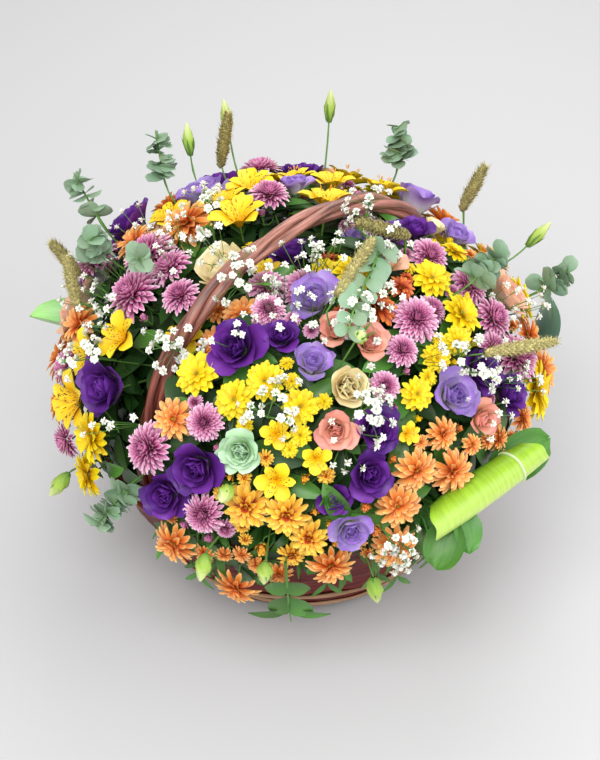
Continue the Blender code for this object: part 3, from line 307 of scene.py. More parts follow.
class Growth:
    # Collects points, faces and tones, and builds one piece from them.
    def __init__(self):
        self.points = []
        self.faces = []
        self.tones = []
        self.count = 0

    def add(self, points, faces, tones, slot=0):
        # points and tones are (copies, corners, 3), and faces are one copy's.
        points = np.asarray(points, float).reshape(-1, np.shape(points)[-2], 3)
        tones = np.broadcast_to(tones, points.shape).reshape(-1, 3)
        copies, corners = points.shape[:2]
        shift = self.count + corners * np.arange(copies)[:, None, None]
        self.faces.append(((np.asarray(faces)[None] + shift).reshape(-1, np.shape(faces)[1]), slot))
        self.points.append(points.reshape(-1, 3))
        self.tones.append(tones)
        self.count += copies * corners

    def build(self, name, finishNames):
        mesh = bpy.data.meshes.new(name)
        points = np.concatenate(self.points)
        corners = np.concatenate([faces.ravel() for faces, slot in self.faces])
        sizes = np.concatenate([np.full(len(faces), faces.shape[1]) for faces, slot in self.faces])
        slots = np.concatenate([np.full(len(faces), slot) for faces, slot in self.faces])
        mesh.vertices.add(len(points))
        mesh.vertices.foreach_set("co", points.ravel())
        mesh.loops.add(len(corners))
        mesh.loops.foreach_set("vertex_index", corners.astype(np.int32))
        mesh.polygons.add(len(sizes))
        mesh.polygons.foreach_set("loop_start", (np.cumsum(sizes) - sizes).astype(np.int32))
        mesh.polygons.foreach_set("material_index", slots.astype(np.int32))
        mesh.polygons.foreach_set("use_smooth", np.ones(len(sizes), bool))
        mesh.update(calc_edges=True)
        tone = mesh.attributes.new("tone", "FLOAT_VECTOR", "POINT")
        tone.data.foreach_set("vector", np.concatenate(self.tones).ravel())
        for finishName in finishNames:
            mesh.materials.append(finish(finishName))
        made = bpy.data.objects.new(name, mesh)
        bpy.context.scene.collection.objects.link(made)
        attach(made, "root")
        return made


def grid(rows, columns):
    along, across = np.meshgrid(np.linspace(0, 1, rows + 1), np.linspace(-1, 1, columns + 1),
                                indexing="ij")
    index = np.arange((rows + 1) * (columns + 1)).reshape(rows + 1, columns + 1)
    faces = np.stack((index[:-1, :-1], index[:-1, 1:], index[1:, 1:], index[1:, :-1]), -1)
    return along, across, faces.reshape(-1, 4)


def outline(share, base, widest, roundness=2.0, tip=0.12):
    # Half the width of a petal along its length: from its base out to its widest point and
    # in again to its tip.
    out = base + (1 - base) * np.sin(math.pi / 2 * np.clip(share / widest, 0, 1))
    past = np.clip((share - widest) / (1 - widest), 0, 1)
    return out * (tip + (1 - tip) * (1 - past ** roundness) ** (1 / roundness))


def turned(points, azimuth):
    # Each copy turned about its own Z.
    c, s = np.cos(azimuth)[:, None], np.sin(azimuth)[:, None]
    x, y, z = points[..., 0], points[..., 1], points[..., 2]
    return np.stack((x * c - y * s, x * s + y * c, z), -1)


def petals(azimuth, elevation, length, width, shape, curl=0.0, cup=0.4, rootOut=0.0, rootUp=0.0,
           ruffle=0.0, rows=5, columns=2):
    # Sheets that run out from a flower's middle, in the flower's own frame: Z is its face.
    count = len(azimuth)
    along, across, faces = grid(rows, columns)
    steps = along[:, 0]
    elevation, length, width, curl, cup, rootOut, rootUp, ruffle = (
        np.broadcast_to(np.asarray(value, float), (count,))[:, None]
        for value in (elevation, length, width, curl, cup, rootOut, rootUp, ruffle))
    angle = elevation - curl * steps[None]
    middle = (angle[:, 1:] + angle[:, :-1]) / 2
    zero = np.zeros((count, 1))
    out = np.hstack((zero, np.cumsum(np.cos(middle), 1))) * length / rows + rootOut
    up = np.hstack((zero, np.cumsum(np.sin(middle), 1))) * length / rows + rootUp
    half = width / 2 * outline(steps, *shape)[None]
    side = half[:, :, None] * across[None]
    phase = dice.uniform(0, 6.28, (count, 1, 1))
    wave = ruffle[:, :, None] * np.sin(5 * across[None] + 7 * along[None] + phase) * along[None] ** 2
    lift = cup[:, :, None] * half[:, :, None] * across[None] ** 2 + wave
    x = out[:, :, None] - np.sin(angle)[:, :, None] * lift
    z = up[:, :, None] + np.cos(angle)[:, :, None] * lift
    points = np.stack((x, side, z), -1).reshape(count, -1, 3)
    own = dice.uniform(0, 1, (count, 1))
    tones = np.stack(np.broadcast_arrays(along.ravel()[None], across.ravel()[None], own), -1)
    return turned(points, np.asarray(azimuth, float)), faces, tones


def lathe(radii, heights, sides=10, lobes=0, depth=0.0, twist=0.0):
    # A turned form on Z, with twisted lobes if it has any.
    rows = len(radii) - 1
    index = np.arange((rows + 1) * sides).reshape(rows + 1, sides)
    after = np.roll(index, -1, axis=1)
    faces = np.stack((index[:-1], after[:-1], after[1:], index[1:]), -1).reshape(-1, 4)
    share = np.linspace(0, 1, rows + 1)[:, None]
    turn = 2 * math.pi * np.arange(sides)[None] / sides + 0 * share
    wide = np.asarray(radii)[:, None] * (1 + depth * np.cos(lobes * (turn + twist * share)))
    height = np.asarray(heights, float)[:, None] + 0 * turn
    points = np.stack((wide * np.cos(turn), wide * np.sin(turn), height), -1).reshape(1, -1, 3)
    tones = np.stack(np.broadcast_arrays(share, turn / math.pi - 1, dice.uniform()), -1)
    return points, faces, tones.reshape(1, -1, 3)


def tube(route, radius, sides=8, own=0.5):
    # A round rod along points, with its section carried along without twist.
    route = np.asarray(route, float)
    way = np.gradient(route, axis=0)
    way /= np.linalg.norm(way, axis=1, keepdims=True)
    side = np.cross(way[0], (0.3, 0.5, 0.81))
    sections = []
    for forward in way:
        side = side - forward * (side @ forward)
        side /= np.linalg.norm(side)
        sections.append((side, np.cross(forward, side)))
    sections = np.array(sections)
    turn = 2 * math.pi * np.arange(sides) / sides
    radius = np.broadcast_to(np.asarray(radius, float), (len(route),))[:, None, None]
    ring = (sections[:, 0][:, None] * np.cos(turn)[None, :, None]
            + sections[:, 1][:, None] * np.sin(turn)[None, :, None])
    points = (route[:, None] + radius * ring).reshape(1, -1, 3)
    index = np.arange(len(route) * sides).reshape(len(route), sides)
    after = np.roll(index, -1, axis=1)
    faces = np.stack((index[:-1], after[:-1], after[1:], index[1:]), -1).reshape(-1, 4)
    share = np.linspace(0, 1, len(route))[:, None]
    tones = np.stack(np.broadcast_arrays(share, (turn / math.pi - 1)[None], own), -1)
    return points, faces, tones.reshape(1, -1, 3)


def placed(points, origin, axes):
    # axes are the form's own X, Y and Z in the arrangement.
    return np.asarray(points) @ np.asarray(axes) + np.asarray(origin)


def axesFrom(normal, first):
    normal = np.asarray(normal, float) / np.linalg.norm(normal)
    first = np.asarray(first, float) - normal * (np.asarray(first, float) @ normal)
    first /= np.linalg.norm(first)
    return np.array((first, np.cross(normal, first), normal))


# The dome that the blooms fill. What follows reads from the frame's solids where each
# bloom, bud, leaf and stem stands.
dome = {"centre": np.array((0.0, 0.0, 0.20)), "size": np.array((0.25, 0.25, 0.195))}
crownFit = {"flat": 0.03, "central": 0.06, "even": 0.09}     # how far a crown may be off
sameLength = 3e-5                                            # lengths this close are the same


def outwardAt(point):
    away = (np.asarray(point) - dome["centre"]) / dome["size"] ** 2
    return away / np.linalg.norm(away)


def weldedSolid(name):
    welded = bmesh.new()
    welded.from_mesh(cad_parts[name].data)
    bmesh.ops.remove_doubles(welded, verts=welded.verts, dist=2e-5)
    welded.verts.index_update()
    welded.verts.ensure_lookup_table()
    return welded


def crownsOf(welded, sides):
    # A crown is a corner whose neighbours stand round it as a regular polygon. Each is
    # (middle of the ring, way it faces, ring radius, height over the ring, first spoke).
    crowns = []
    for corner in welded.verts:
        if len(corner.link_edges) != sides:
            continue
        ring = np.array([edge.other_vert(corner).co for edge in corner.link_edges])
        middle = ring.mean(0)
        spokes = ring - middle
        radius = np.linalg.norm(spokes, axis=1).mean()
        lift = np.array(corner.co) - middle
        normal = np.linalg.svd(spokes)[2][2]
        if abs(spokes @ normal).max() > crownFit["flat"] * radius:
            continue
        if np.linalg.norm(lift - normal * (lift @ normal)) > crownFit["central"] * radius:
            continue
        if normal @ outwardAt(middle) < 0:
            normal = -normal
        first = spokes[0] / np.linalg.norm(spokes[0])
        turns = np.sort(np.arctan2(spokes @ np.cross(normal, first), spokes @ first))
        steps = np.diff(np.append(turns, turns[0] + 2 * math.pi))
        if abs(steps - 2 * math.pi / sides).max() < crownFit["even"]:
            crowns.append((middle, normal, radius, float(lift @ normal), first))
    return crowns


def discsOf(welded, thickness=0.0024):
    # A round leaf is two corners one thickness apart that share most of a rim. Each is
    # (middle, normal, radius, way from the stem, corners).
    discs = []
    corners = [corner for corner in welded.verts if len(corner.link_edges) >= 5]
    for a in corners:
        for b in corners:
            if a.index >= b.index or abs((a.co - b.co).length - thickness) > sameLength:
                continue
            middle, normal = (a.co + b.co) / 2, (a.co - b.co).normalized()
            rims = [{edge.other_vert(end) for edge in end.link_edges} for end in (a, b)]
            rim = sorted(rims[0] & rims[1], key=lambda corner: corner.index)
            radius = max((corner.co - middle).length for corner in rim)
            rim = [corner for corner in rim if (corner.co - middle).length > 0.97 * radius]
            if len(rim) < 3:
                continue
            way = sum((corner.co - middle for corner in rim), Vector())
            if way.length < 0.3 * radius:
                own = {a, b, *rim}
                near = min((v for v in welded.verts if v not in own),
                           key=lambda v: (v.co - middle).length)
                way = middle - near.co
            discs.append((np.array(middle), np.array(normal), radius,
                          np.array(way.normalized()), [a, b, *rim]))
    return discs


def strip(welded, start, way, reach, radius):
    # Takes a bloom or bud off the solid, so that its stems are left.
    start, way = np.asarray(start), np.asarray(way)
    gone = []
    for corner in welded.verts:
        offset = np.array(corner.co) - start
        along = offset @ way
        if 0 < along < reach and np.linalg.norm(offset - way * along) < radius:
            gone.append(corner)
    bmesh.ops.delete(welded, geom=gone, context="VERTS")


stems = {"swell": 0.0003, "greenFrom": 0.12, "greenOver": 0.30}     # the tone rises with height: painted shade, stems drawn darker low down under the blooms


def stemsOf(welded, growth, slot, swell=stems["swell"]):
    # What is left of the solid, made rounder.
    if not welded.faces:
        return
    rough = bpy.data.meshes.new("stems")
    welded.to_mesh(rough)
    holder = bpy.data.objects.new("stems", rough)
    bpy.context.scene.collection.objects.link(holder)
    rounder = holder.modifiers.new("rounder", "SUBSURF")
    rounder.levels = 1
    seen = holder.evaluated_get(bpy.context.evaluated_depsgraph_get())
    smooth = seen.to_mesh()
    points = np.zeros(len(smooth.vertices) * 3)
    smooth.vertices.foreach_get("co", points)
    normals = np.zeros(len(smooth.vertices) * 3)
    smooth.vertices.foreach_get("normal", normals)
    faces = np.array([face.vertices[:] for face in smooth.polygons])
    points = (points + swell * normals).reshape(-1, 3)
    # Painted shade: stems are darker the lower they stand.
    height = (points[:, 2:] - stems["greenFrom"]) / stems["greenOver"]
    tones = np.hstack((np.clip(height, 0, 1), 0 * height, 0 * height + dice.uniform()))
    growth.add(points[None], faces, tones[None], slot)
    seen.to_mesh_clear()
    bpy.data.objects.remove(holder)
    bpy.data.meshes.remove(rough)


# The basket's measures, and the handle's, which the blooms keep clear of.
basket = {
    "baseRadius": 0.138,
    "rimRadius": 0.2145,
    "rimHeight": 0.168,
    "rimRod": 0.006,
    "wallThickness": 0.005,
    "flare": 0.8,
    "gap": 0.0003,                     # between the wall's top and the rim
}
basket["wallTop"] = basket["rimHeight"] - basket["rimRod"] - basket["gap"]
handle = {
    "turn": -49.0,                     # degrees round the basket
    "span": 0.2045,
    "apex": 0.4035,
    "power": 0.88,                     # under 1 the arch is squarer
    "foot": 0.050,                     # height of the legs' ends
    "inset": 0.0184,                   # of the legs from the wall
    "lean": 0.0007,
    "legShare": 0.13,                  # of the line that lies below the wall's top
    "widening": 0.05,                  # share of the line in which the arch widens over the rim
    "rod": 0.0051,
    "spread": 0.0054,                  # from the middle line to each rod's
    "twist": 0.30,                     # length of one turn of the three rods
    "steps": 180,
    "sides": 12,
}
handleLook = {
    "roughness": 0.30,
    "grain": (5.0, 26.0, 4.0),         # across, along, detail
    "contrast": (3.6, -0.85),
    "rise": (4.6, -0.85),              # painted light: the cane is drawn darker low down and paler higher up, as sheen from the lamps above
    # bark runs from the cane's own red-brown low down to painted sheen at the top
    "bark": ((0.0, (0.120, 0.018, 0.013)), (0.45, (0.230, 0.058, 0.040)),
             (1.0, (0.380, 0.165, 0.125))),
    "relief": (0.7, 0.001),
}


def direction(azimuth):
    # Outward, so many degrees round from the front.
    turn = math.radians(azimuth)
    return np.array((math.sin(turn), -math.cos(turn), 0.0))


def wallRadius(height):
    share = np.clip(height / basket["wallTop"], 0, 1)
    widest = basket["rimRadius"] + basket["wallThickness"] / 2
    return basket["baseRadius"] + (widest - basket["baseRadius"]) * share ** basket["flare"]


def handlePoint(share):
    side = -1.0 if share > 0.5 else 1.0
    near = min(share, 1 - share)
    top, leg = basket["wallTop"], handle["legShare"]
    if near < leg:
        height = handle["foot"] + (top - handle["foot"]) * near / leg
        out = wallRadius(height) - handle["inset"] - handle["lean"] * near / leg
    else:
        turn = math.pi / 2 * (near - leg) / (0.5 - leg)
        blend = min((near - leg) / handle["widening"], 1.0)
        start = wallRadius(top) - handle["inset"] - handle["lean"]
        reach = start + (handle["span"] - start) * blend * (2 - blend)
        out = reach * max(math.cos(turn), 0.0) ** handle["power"]
        height = top + (handle["apex"] - top) * math.sin(turn) ** handle["power"]
    return direction(handle["turn"]) * out * side + np.array((0, 0, height))


def handleLine(steps):
    # The middle line in even steps, and its length.
    fine = np.array([handlePoint(k / 800) for k in range(801)])
    lengths = np.append(0, np.cumsum(np.linalg.norm(np.diff(fine, axis=0), axis=1)))
    even = np.linspace(0, lengths[-1], steps + 1)
    points = np.stack([np.interp(even, lengths, fine[:, k]) for k in range(3)], -1)
    return points, lengths[-1]


handleMiddle = handleLine(160)[0]


def distanceToHandle(point):
    return float(np.linalg.norm(handleMiddle - np.asarray(point), axis=1).min())


def handleFinish():
    made, tree, shader = newFinish("handleCane", handleLook["roughness"])
    parts = toneParts(tree)
    place = node(tree, "ShaderNodeNewGeometry")
    spot = node(tree, "ShaderNodeSeparateXYZ")
    tree.links.new(place.outputs["Position"], spot.inputs[0])
    # Painted light: the cane's colour follows its height, with painted pinkish sheen at the top and darker
    # cane low down.
    high = maths(tree, "MULTIPLY_ADD", spot.outputs[2], *handleLook["rise"])
    grain = streaks(tree, parts, *handleLook["grain"])
    bark = ramp(tree, high, handleLook["bark"])
    tint = node(tree, "ShaderNodeHueSaturation")
    tree.links.new(bark, tint.inputs["Color"])
    tree.links.new(maths(tree, "MULTIPLY_ADD", grain, *handleLook["contrast"]), tint.inputs["Value"])
    tree.links.new(tint.outputs[0], shader.inputs["Base Color"])
    relief(tree, shader, grain, *handleLook["relief"])
    return made


def handleRods():
    steps, sides = handle["steps"], handle["sides"]
    points, length = handleLine(steps)
    across = direction(handle["turn"] + 90)
    tangent = np.gradient(points, axis=0)
    tangent /= np.linalg.norm(tangent, axis=1, keepdims=True)
    normal = np.cross(tangent, across)
    normal /= np.linalg.norm(normal, axis=1, keepdims=True)
    cane = handleFinish()
    for rod in range(3):
        turn = 2 * math.pi * (length * np.arange(steps + 1) / steps / handle["twist"] + rod / 3)
        centre = points + (normal * np.cos(turn)[:, None]
                           + across * np.sin(turn)[:, None]) * handle["spread"]
        share = np.linspace(0, 1, steps + 1)
        knots = 1 + 0.05 * np.sin(37 * share + 2 * rod) + 0.03 * np.sin(91 * share + rod)
        growth = Growth()
        growth.add(*tube(centre, handle["rod"] * knots, sides=sides, own=0.2 + 0.3 * rod))
        for end in (0, -1):
            ring = growth.points[0].reshape(steps + 1, sides, 3)[end]
            cap = np.vstack((ring, ring.mean(0)))
            faces = [(k, (k + 1) % sides, sides) for k in range(sides)]
            growth.add(cap[None], faces, (0.0, 0.0, 0.5))
        piece = growth.build(f"handleCane{rod + 1}", [])
        piece.data.materials.append(cane)
        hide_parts(f"handle_rod_{rod + 1}")
    print("handle twisted")


# The basket is woven rods over a shell, with a twisted rim and two tan bands.
weave = {
    "courses": 8,                      # bundles of rods that pass in and out of the stakes together
    "rods": 6,                         # in each bundle
    "stakes": 18,
    "steps": 126,
    "rod": 0.0020,
    "uneven": (0.96, 1.05),
    "wave": 0.0013,
    "chord": 0.0038,                   # how much flatter the wall is between two stakes
    "wobble": ((3, 0.0004), (7, 0.0003)),
    "sink": 0.0016,                    # rods' centres below the wall's mean surface
    "floor": 0.010,
    "foot": 0.001,
    "shellInset": 0.0060,
    "shellThickness": 0.0022,
}
rimWeave = {
    "strands": 4,
    "turns": 24,
    "steps": 360,
    "rod": 0.0040,
    "offset": 0.0036,                  # from the rim's middle line to each strand's
    "lift": 0.0004,
}
bandWeave = {
    "levels": ((0.030, 200), (0.046, 60)),     # height, and where its waves begin
    "rows": (-1, 0, 1),
    "steps": 180,
    "rod": 0.00135,
    "apart": 0.0025,
    "wave": 0.008,
    "proud": 0.0024,                   # of the wall
}
willow = {                             # its dark and light colour, and its roughness
    "basketWillow": ((0.045, 0.003, 0.003), (0.230, 0.020, 0.014), 0.3),
    "rimWillow": ((0.045, 0.004, 0.003), (0.220, 0.026, 0.018), 0.3),
    "bandWillow": ((0.26, 0.13, 0.07), (0.52, 0.32, 0.18), 0.5),
}


def wickerFinish(name):
    low, high, roughness = willow[name]
    made, tree, shader = newFinish(name, roughness)
    shader.inputs["Specular IOR Level"].default_value = 0.3
    parts = toneParts(tree)
    grain = streaks(tree, parts, 2.0, 30.0, 4.0)
    own = node(tree, "ShaderNodeTexWhiteNoise", noise_dimensions="1D")
    tree.links.new(parts[2], own.inputs["W"])
    bark = ramp(tree, grain, ((0.25, low), (0.75, high)))
    tint = node(tree, "ShaderNodeHueSaturation")
    tree.links.new(bark, tint.inputs["Color"])
    tree.links.new(maths(tree, "MULTIPLY_ADD", own.outputs["Value"], 0.7, 0.65), tint.inputs["Value"])
    tree.links.new(tint.outputs[0], shader.inputs["Base Color"])
    relief(tree, shader, grain, 0.35, 0.0008)
    return made


def dress(piece, slot, *nodes):
    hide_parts(*nodes)


def ringRoute(turn, radius, height):
    # Points round the basket, from the front.
    return np.stack((radius * np.sin(turn), -radius * np.cos(turn), height), -1)


def basketWall():
    wall = Growth()
    top = basket["wallTop"]
    turn = np.linspace(0, 2 * math.pi, weave["steps"] + 1)
    column = turn / (2 * math.pi) * 2 * weave["stakes"]
    chord = weave["chord"] * 4 * (column % 1) * (1 - column % 1)
    total = weave["courses"] * weave["rods"]
    for row in range(total):
        z = (row + 0.5) * top / total
        level = (row + 0.5) / weave["rods"]
        ends = min(level, weave["courses"] - level, 1.0)
        wave = weave["wave"] * math.cos(math.pi * level) * ends
        wobble = sum(size * np.sin(waves * turn + dice.uniform(0, 6.28))
                     for waves, size in weave["wobble"])
        heights = np.clip(z + wobble * min(row, 4) / 4, weave["rod"], None)
        radius = (wallRadius(heights) * (1 - chord) - weave["sink"]
                  - wave * np.cos(math.pi * column))
        heights[-1], radius[-1] = heights[0], radius[0]
        wall.add(*tube(ringRoute(turn, radius, heights), weave["rod"] * dice.uniform(*weave["uneven"]), 6,
                       dice.uniform()))
    floor, foot, inset = weave["floor"], weave["foot"], weave["shellInset"]
    outer, inner = wallRadius(floor) - inset, wallRadius(top) - inset
    heights = [foot, foot, floor, top, top, floor, floor]
    radii = [1e-4, basket["baseRadius"] - inset, outer, inner, inner - weave["shellThickness"],
             outer - weave["shellThickness"], 1e-4]
    wall.add(*lathe(radii, heights, 72), 0)
    piece = wall.build("basketWeave", [])
    piece.data.materials.append(wickerFinish("basketWillow"))
    dress(piece, "basket_wicker", "basket_wall")


def basketRim():
    rim = Growth()
    turn = np.linspace(0, 2 * math.pi, rimWeave["steps"] + 1)
    strands = rimWeave["strands"]
    for strand in range(strands):
        wrap = rimWeave["turns"] / strands * turn + 2 * math.pi * strand / strands
        radius = basket["rimRadius"] + rimWeave["offset"] * np.cos(wrap)
        height = basket["rimHeight"] + rimWeave["lift"] + rimWeave["offset"] * np.sin(wrap)
        rim.add(*tube(ringRoute(turn, radius, height), rimWeave["rod"], 8, dice.uniform()))
    piece = rim.build("basketRim", [])
    piece.data.materials.append(wickerFinish("rimWillow"))
    dress(piece, "rim_wicker", "basket_rim")


def basketBands():
    bands = Growth()
    turn = np.linspace(0, 2 * math.pi, bandWeave["steps"] + 1)
    for level, phase in bandWeave["levels"]:
        for row in bandWeave["rows"]:
            height = (level + bandWeave["wave"] * np.sin(3 * turn + math.radians(phase))
                      + row * bandWeave["apart"])
            radius = wallRadius(height) + bandWeave["proud"] + 0.0003 * np.sin(18 * turn + row)
            bands.add(*tube(ringRoute(turn, radius, height), bandWeave["rod"], 6, dice.uniform()))
    piece = bands.build("basketBands", [])
    piece.data.materials.append(wickerFinish("bandWillow"))
    dress(piece, "band_wicker", "basket_bands")
    print("basket woven")


def plainFinish(name, colour, roughness, grainScale, depth):
    made, tree, shader = newFinish(name, roughness)
    place = node(tree, "ShaderNodeTexCoord")
    grain = node(tree, "ShaderNodeTexNoise")
    grain.inputs["Scale"].default_value = grainScale
    tree.links.new(place.outputs["Object"], grain.inputs["Vector"])
    dark = tuple(value * (1 - depth) for value in colour)
    tree.links.new(ramp(tree, grain.outputs["Fac"], ((0.3, dark), (0.7, colour))),
                   shader.inputs["Base Color"])
    return made


def insides():
    # The liner and the foam keep their solid form.
    for name, made in (("liner", plainFinish("linerGreen", (0.012, 0.03, 0.014), 0.35, 40, 0.3)),
                       ("floral_foam", plainFinish("foamGreen", (0.02, 0.07, 0.02), 0.95, 900, 0.6))):
        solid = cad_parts[name]
        for slot in range(len(solid.data.materials)):
            solid.data.materials[slot] = made
    print("liner and foam coloured")


def addPlaced(growth, form, origin, axes, slot):
    points, faces, tones = form
    growth.add(placed(points, origin, axes), faces, tones, slot)


# Each bloom's form is built round its own Z with a visible radius of size, and is a list of
# (points, faces, tones, slot).
def placeBloom(growth, form, origin, axes):
    for *mesh, slot in form:
        addPlaced(growth, mesh, origin, axes, slot)


def florets(count, radius, height, size, slot):
    # The little florets of a flower's disc.
    k = np.arange(count)
    share = np.sqrt((k + 0.5) / count)
    turn = k * turnStep
    bump, faces, tones = lathe([0.55, 0.9, 1e-3], [-0.5, 0.35, 1.0], 5)
    middle = np.stack((radius * share * np.cos(turn), radius * share * np.sin(turn),
                       height * (1 - share ** 2)), -1)
    points = bump * size * dice.uniform(0.8, 1.2, (count, 1, 1)) + middle[:, None]
    tones = np.repeat(tones, count, 0)
    tones[..., 0] = tones[..., 0] * 0.6 + 0.4 * share[:, None]
    tones[..., 2] = dice.uniform(0, 1, (count, 1))
    return points, faces, tones, slot


def ringOf(count, turn=0.0, jitter=0.10):
    return turn + 2 * math.pi * (np.arange(count) + dice.uniform(-jitter, jitter, count) * 2) / count


def uneven(count, value, wobble):
    return value * (1 + dice.uniform(-wobble, wobble, count))


daisy = {
    "rings": (                         # petals, elevation, length, width, height of their roots
        (15, 0.02, 0.93, 0.36, -0.02),
        (14, 0.26, 0.84, 0.34, 0.04),
        (10, 0.60, 0.62, 0.28, 0.08),
    ),
    "reach": 1.0,
    "lean": (-0.05, 0.2),
    "uneven": (0.08, 0.1),             # lengths, widths
    "outline": (0.35, 0.66, 2.4, 0.25),
    "curl": (0.1, 0.6),
    "cup": 0.35,
    "ruffle": 0.012,
    "disc": (30, 0.17, 0.12, 0.036),   # florets, the disc's radius and height, a floret's size
}
mum = {
    "rings": (
        (14, -0.12, 1.00, 0.27, -0.04),
        (13, 0.20, 0.92, 0.26, 0.03),
        (11, 0.60, 0.72, 0.23, 0.07),
        (7, 1.05, 0.46, 0.18, 0.10),
    ),
    "reach": 0.93,
    "lean": (-0.1, 0.12),
    "uneven": (0.07, 0.08),
    "outline": (0.45, 0.6, 3.0, 0.35),
    "curl": (0.05, 0.5),
    "cup": 0.55,
    "ruffle": 0.0,
    "disc": (22, 0.13, 0.10, 0.040),
}


def rayForm(size, flower):
    form = []
    longWobble, wideWobble = flower["uneven"]
    for count, elevation, length, width, lift in flower["rings"]:
        azimuth = ringOf(count, dice.uniform(0, 6), 0.16)
        lean = elevation + dice.uniform(*flower["lean"], count)
        lengths = uneven(count, size * length * flower["reach"], longWobble)
        widths = uneven(count, size * width, wideWobble)
        form.append((*petals(azimuth, lean, lengths, widths, flower["outline"],
                             curl=dice.uniform(*flower["curl"], count), cup=flower["cup"],
                             rootOut=size * 0.07, rootUp=size * lift, ruffle=size * flower["ruffle"],
                             rows=5, columns=4), 0))
    count, radius, height, floret = flower["disc"]
    form.append(florets(count, size * radius, size * height, size * floret, 1))
    return form


def daisyForm(size):
    return rayForm(size, daisy)


def mumForm(size):
    return rayForm(size, mum)


button = {"petals": 150, "outline": (0.5, 0.6, 2.2, 0.3), "cup": 0.75}


def buttonForm(size):
    # A ball of petals that curl inward at its middle and outward at its edge.
    count = button["petals"]
    k = np.arange(count)
    share = (k + 0.5) / count
    azimuth = k * turnStep + dice.uniform(-0.1, 0.1, count)
    elevation = np.radians(86 - 96 * share ** 0.75) + dice.uniform(-0.10, 0.10, count)
    length = size * (0.30 + 0.46 * share ** 0.7) * dice.uniform(0.92, 1.08, count)
    width = size * (0.11 + 0.11 * share)
    points, faces, tones = petals(azimuth, elevation, length, width, button["outline"],
                                  curl=-0.65 + 0.85 * share, cup=button["cup"],
                                  rootOut=size * 0.32 * share ** 0.5,
                                  rootUp=size * (0.16 - 0.28 * share ** 1.3), rows=5, columns=2)
    tones = np.array(tones)
    tones[..., 0] *= (0.50 + 0.50 * np.minimum(1, share * 1.9))[:, None]
    return [(points, faces, tones, 0)]


lily = {
    "petals": (                        # turn, elevation, length, width, slot of each three
        (0.0, 0.95, 1.22, 0.78, 0),
        (math.pi / 3, 1.10, 1.16, 0.50, 2),
    ),
    "outline": (0.22, 0.66, 2.0, 0.18),
    "threadOutline": (0.9, 0.5, 2.0, 0.8),
    "tipOutline": (0.5, 0.5, 2.0, 0.3),
}


def lilyForm(size):
    form = []
    base = dice.uniform(0, 6)
    for turn, elevation, length, width, slot in lily["petals"]:
        azimuth = base + turn + 2 * math.pi * np.arange(3) / 3 + dice.uniform(-0.08, 0.08, 3)
        form.append((*petals(azimuth, elevation, uneven(3, size * length, 0.05), size * width,
                             lily["outline"], curl=uneven(3, 0.95, 0.15), cup=0.35,
                             rootUp=-size * 0.42, ruffle=size * 0.015, rows=8, columns=6), slot))
    azimuth = ringOf(6, base, 0.2)
    threads = petals(azimuth, uneven(6, 1.25, 0.05), uneven(6, size * 0.80, 0.1), size * 0.035,
                     lily["threadOutline"], curl=0.35, rootUp=-size * 0.38, rows=4, columns=1)
    form.append((*threads, 0))
    tips = petals(azimuth, 1.15, size * 0.16, size * 0.07, lily["tipOutline"], rootOut=size * 0.26,
                  rootUp=size * 0.36, rows=2, columns=2)
    form.append((*tips, 1))
    return form


rose = {"petals": 18, "ruffle": 0.022, "openness": 1.0, "wide": 1.0, "outline": (0.50, 0.62, 2.6, 0.45)}
budRose = {**rose, "petals": 17, "ruffle": 0.006, "openness": 0.70, "wide": 1.12}
cabbageRose = {**rose, "petals": 22, "ruffle": 0.012, "openness": 1.15, "wide": 1.15}


def cupForm(size, flower):
    # Overlapping petals in a cup: those in the middle stand upright, the outer ones lean out.
    count, openness = flower["petals"], flower["openness"]
    share = np.arange(count) / (count - 1)
    azimuth = np.arange(count) * turnStep + dice.uniform(-0.2, 0.2, count)
    elevation = np.radians(89 - openness * 30 * share ** 1.3) + dice.uniform(-0.04, 0.04, count)
    length = size * (0.86 + 0.20 * share) * dice.uniform(0.95, 1.05, count)
    width = size * flower["wide"] * (0.42 + 0.86 * share)
    return [(*petals(azimuth, elevation, length, width, flower["outline"],
                     curl=-0.40 + 1.35 * share ** 1.5 * openness, cup=0.80 - 0.35 * share,
                     rootOut=size * (0.03 + 0.26 * share), rootUp=-size * 0.50,
                     ruffle=size * flower["ruffle"] * share ** 0.5, rows=8, columns=8), 0)]


def roseForm(size):
    return cupForm(size, rose)


def budRoseForm(size):
    return cupForm(size, budRose)


def cabbageForm(size):
    return cupForm(size, cabbageRose)


def closedForm(size):
    # A bud of a daisy or a mum that shows colour.
    count = 22
    share = (np.arange(count) + 0.5) / count
    points, faces, tones = petals(np.arange(count) * turnStep, np.radians(88 - 60 * share), size * 0.75,
                                  size * 0.34, (0.6, 0.5, 2.2, 0.3), curl=-1.1 + 0.2 * share, cup=0.7,
                                  rootOut=size * 0.22 * share, rootUp=-size * 0.30 * share, rows=4,
                                  columns=2)
    return [(points, faces, tones * (0.7, 1, 1), 0)]


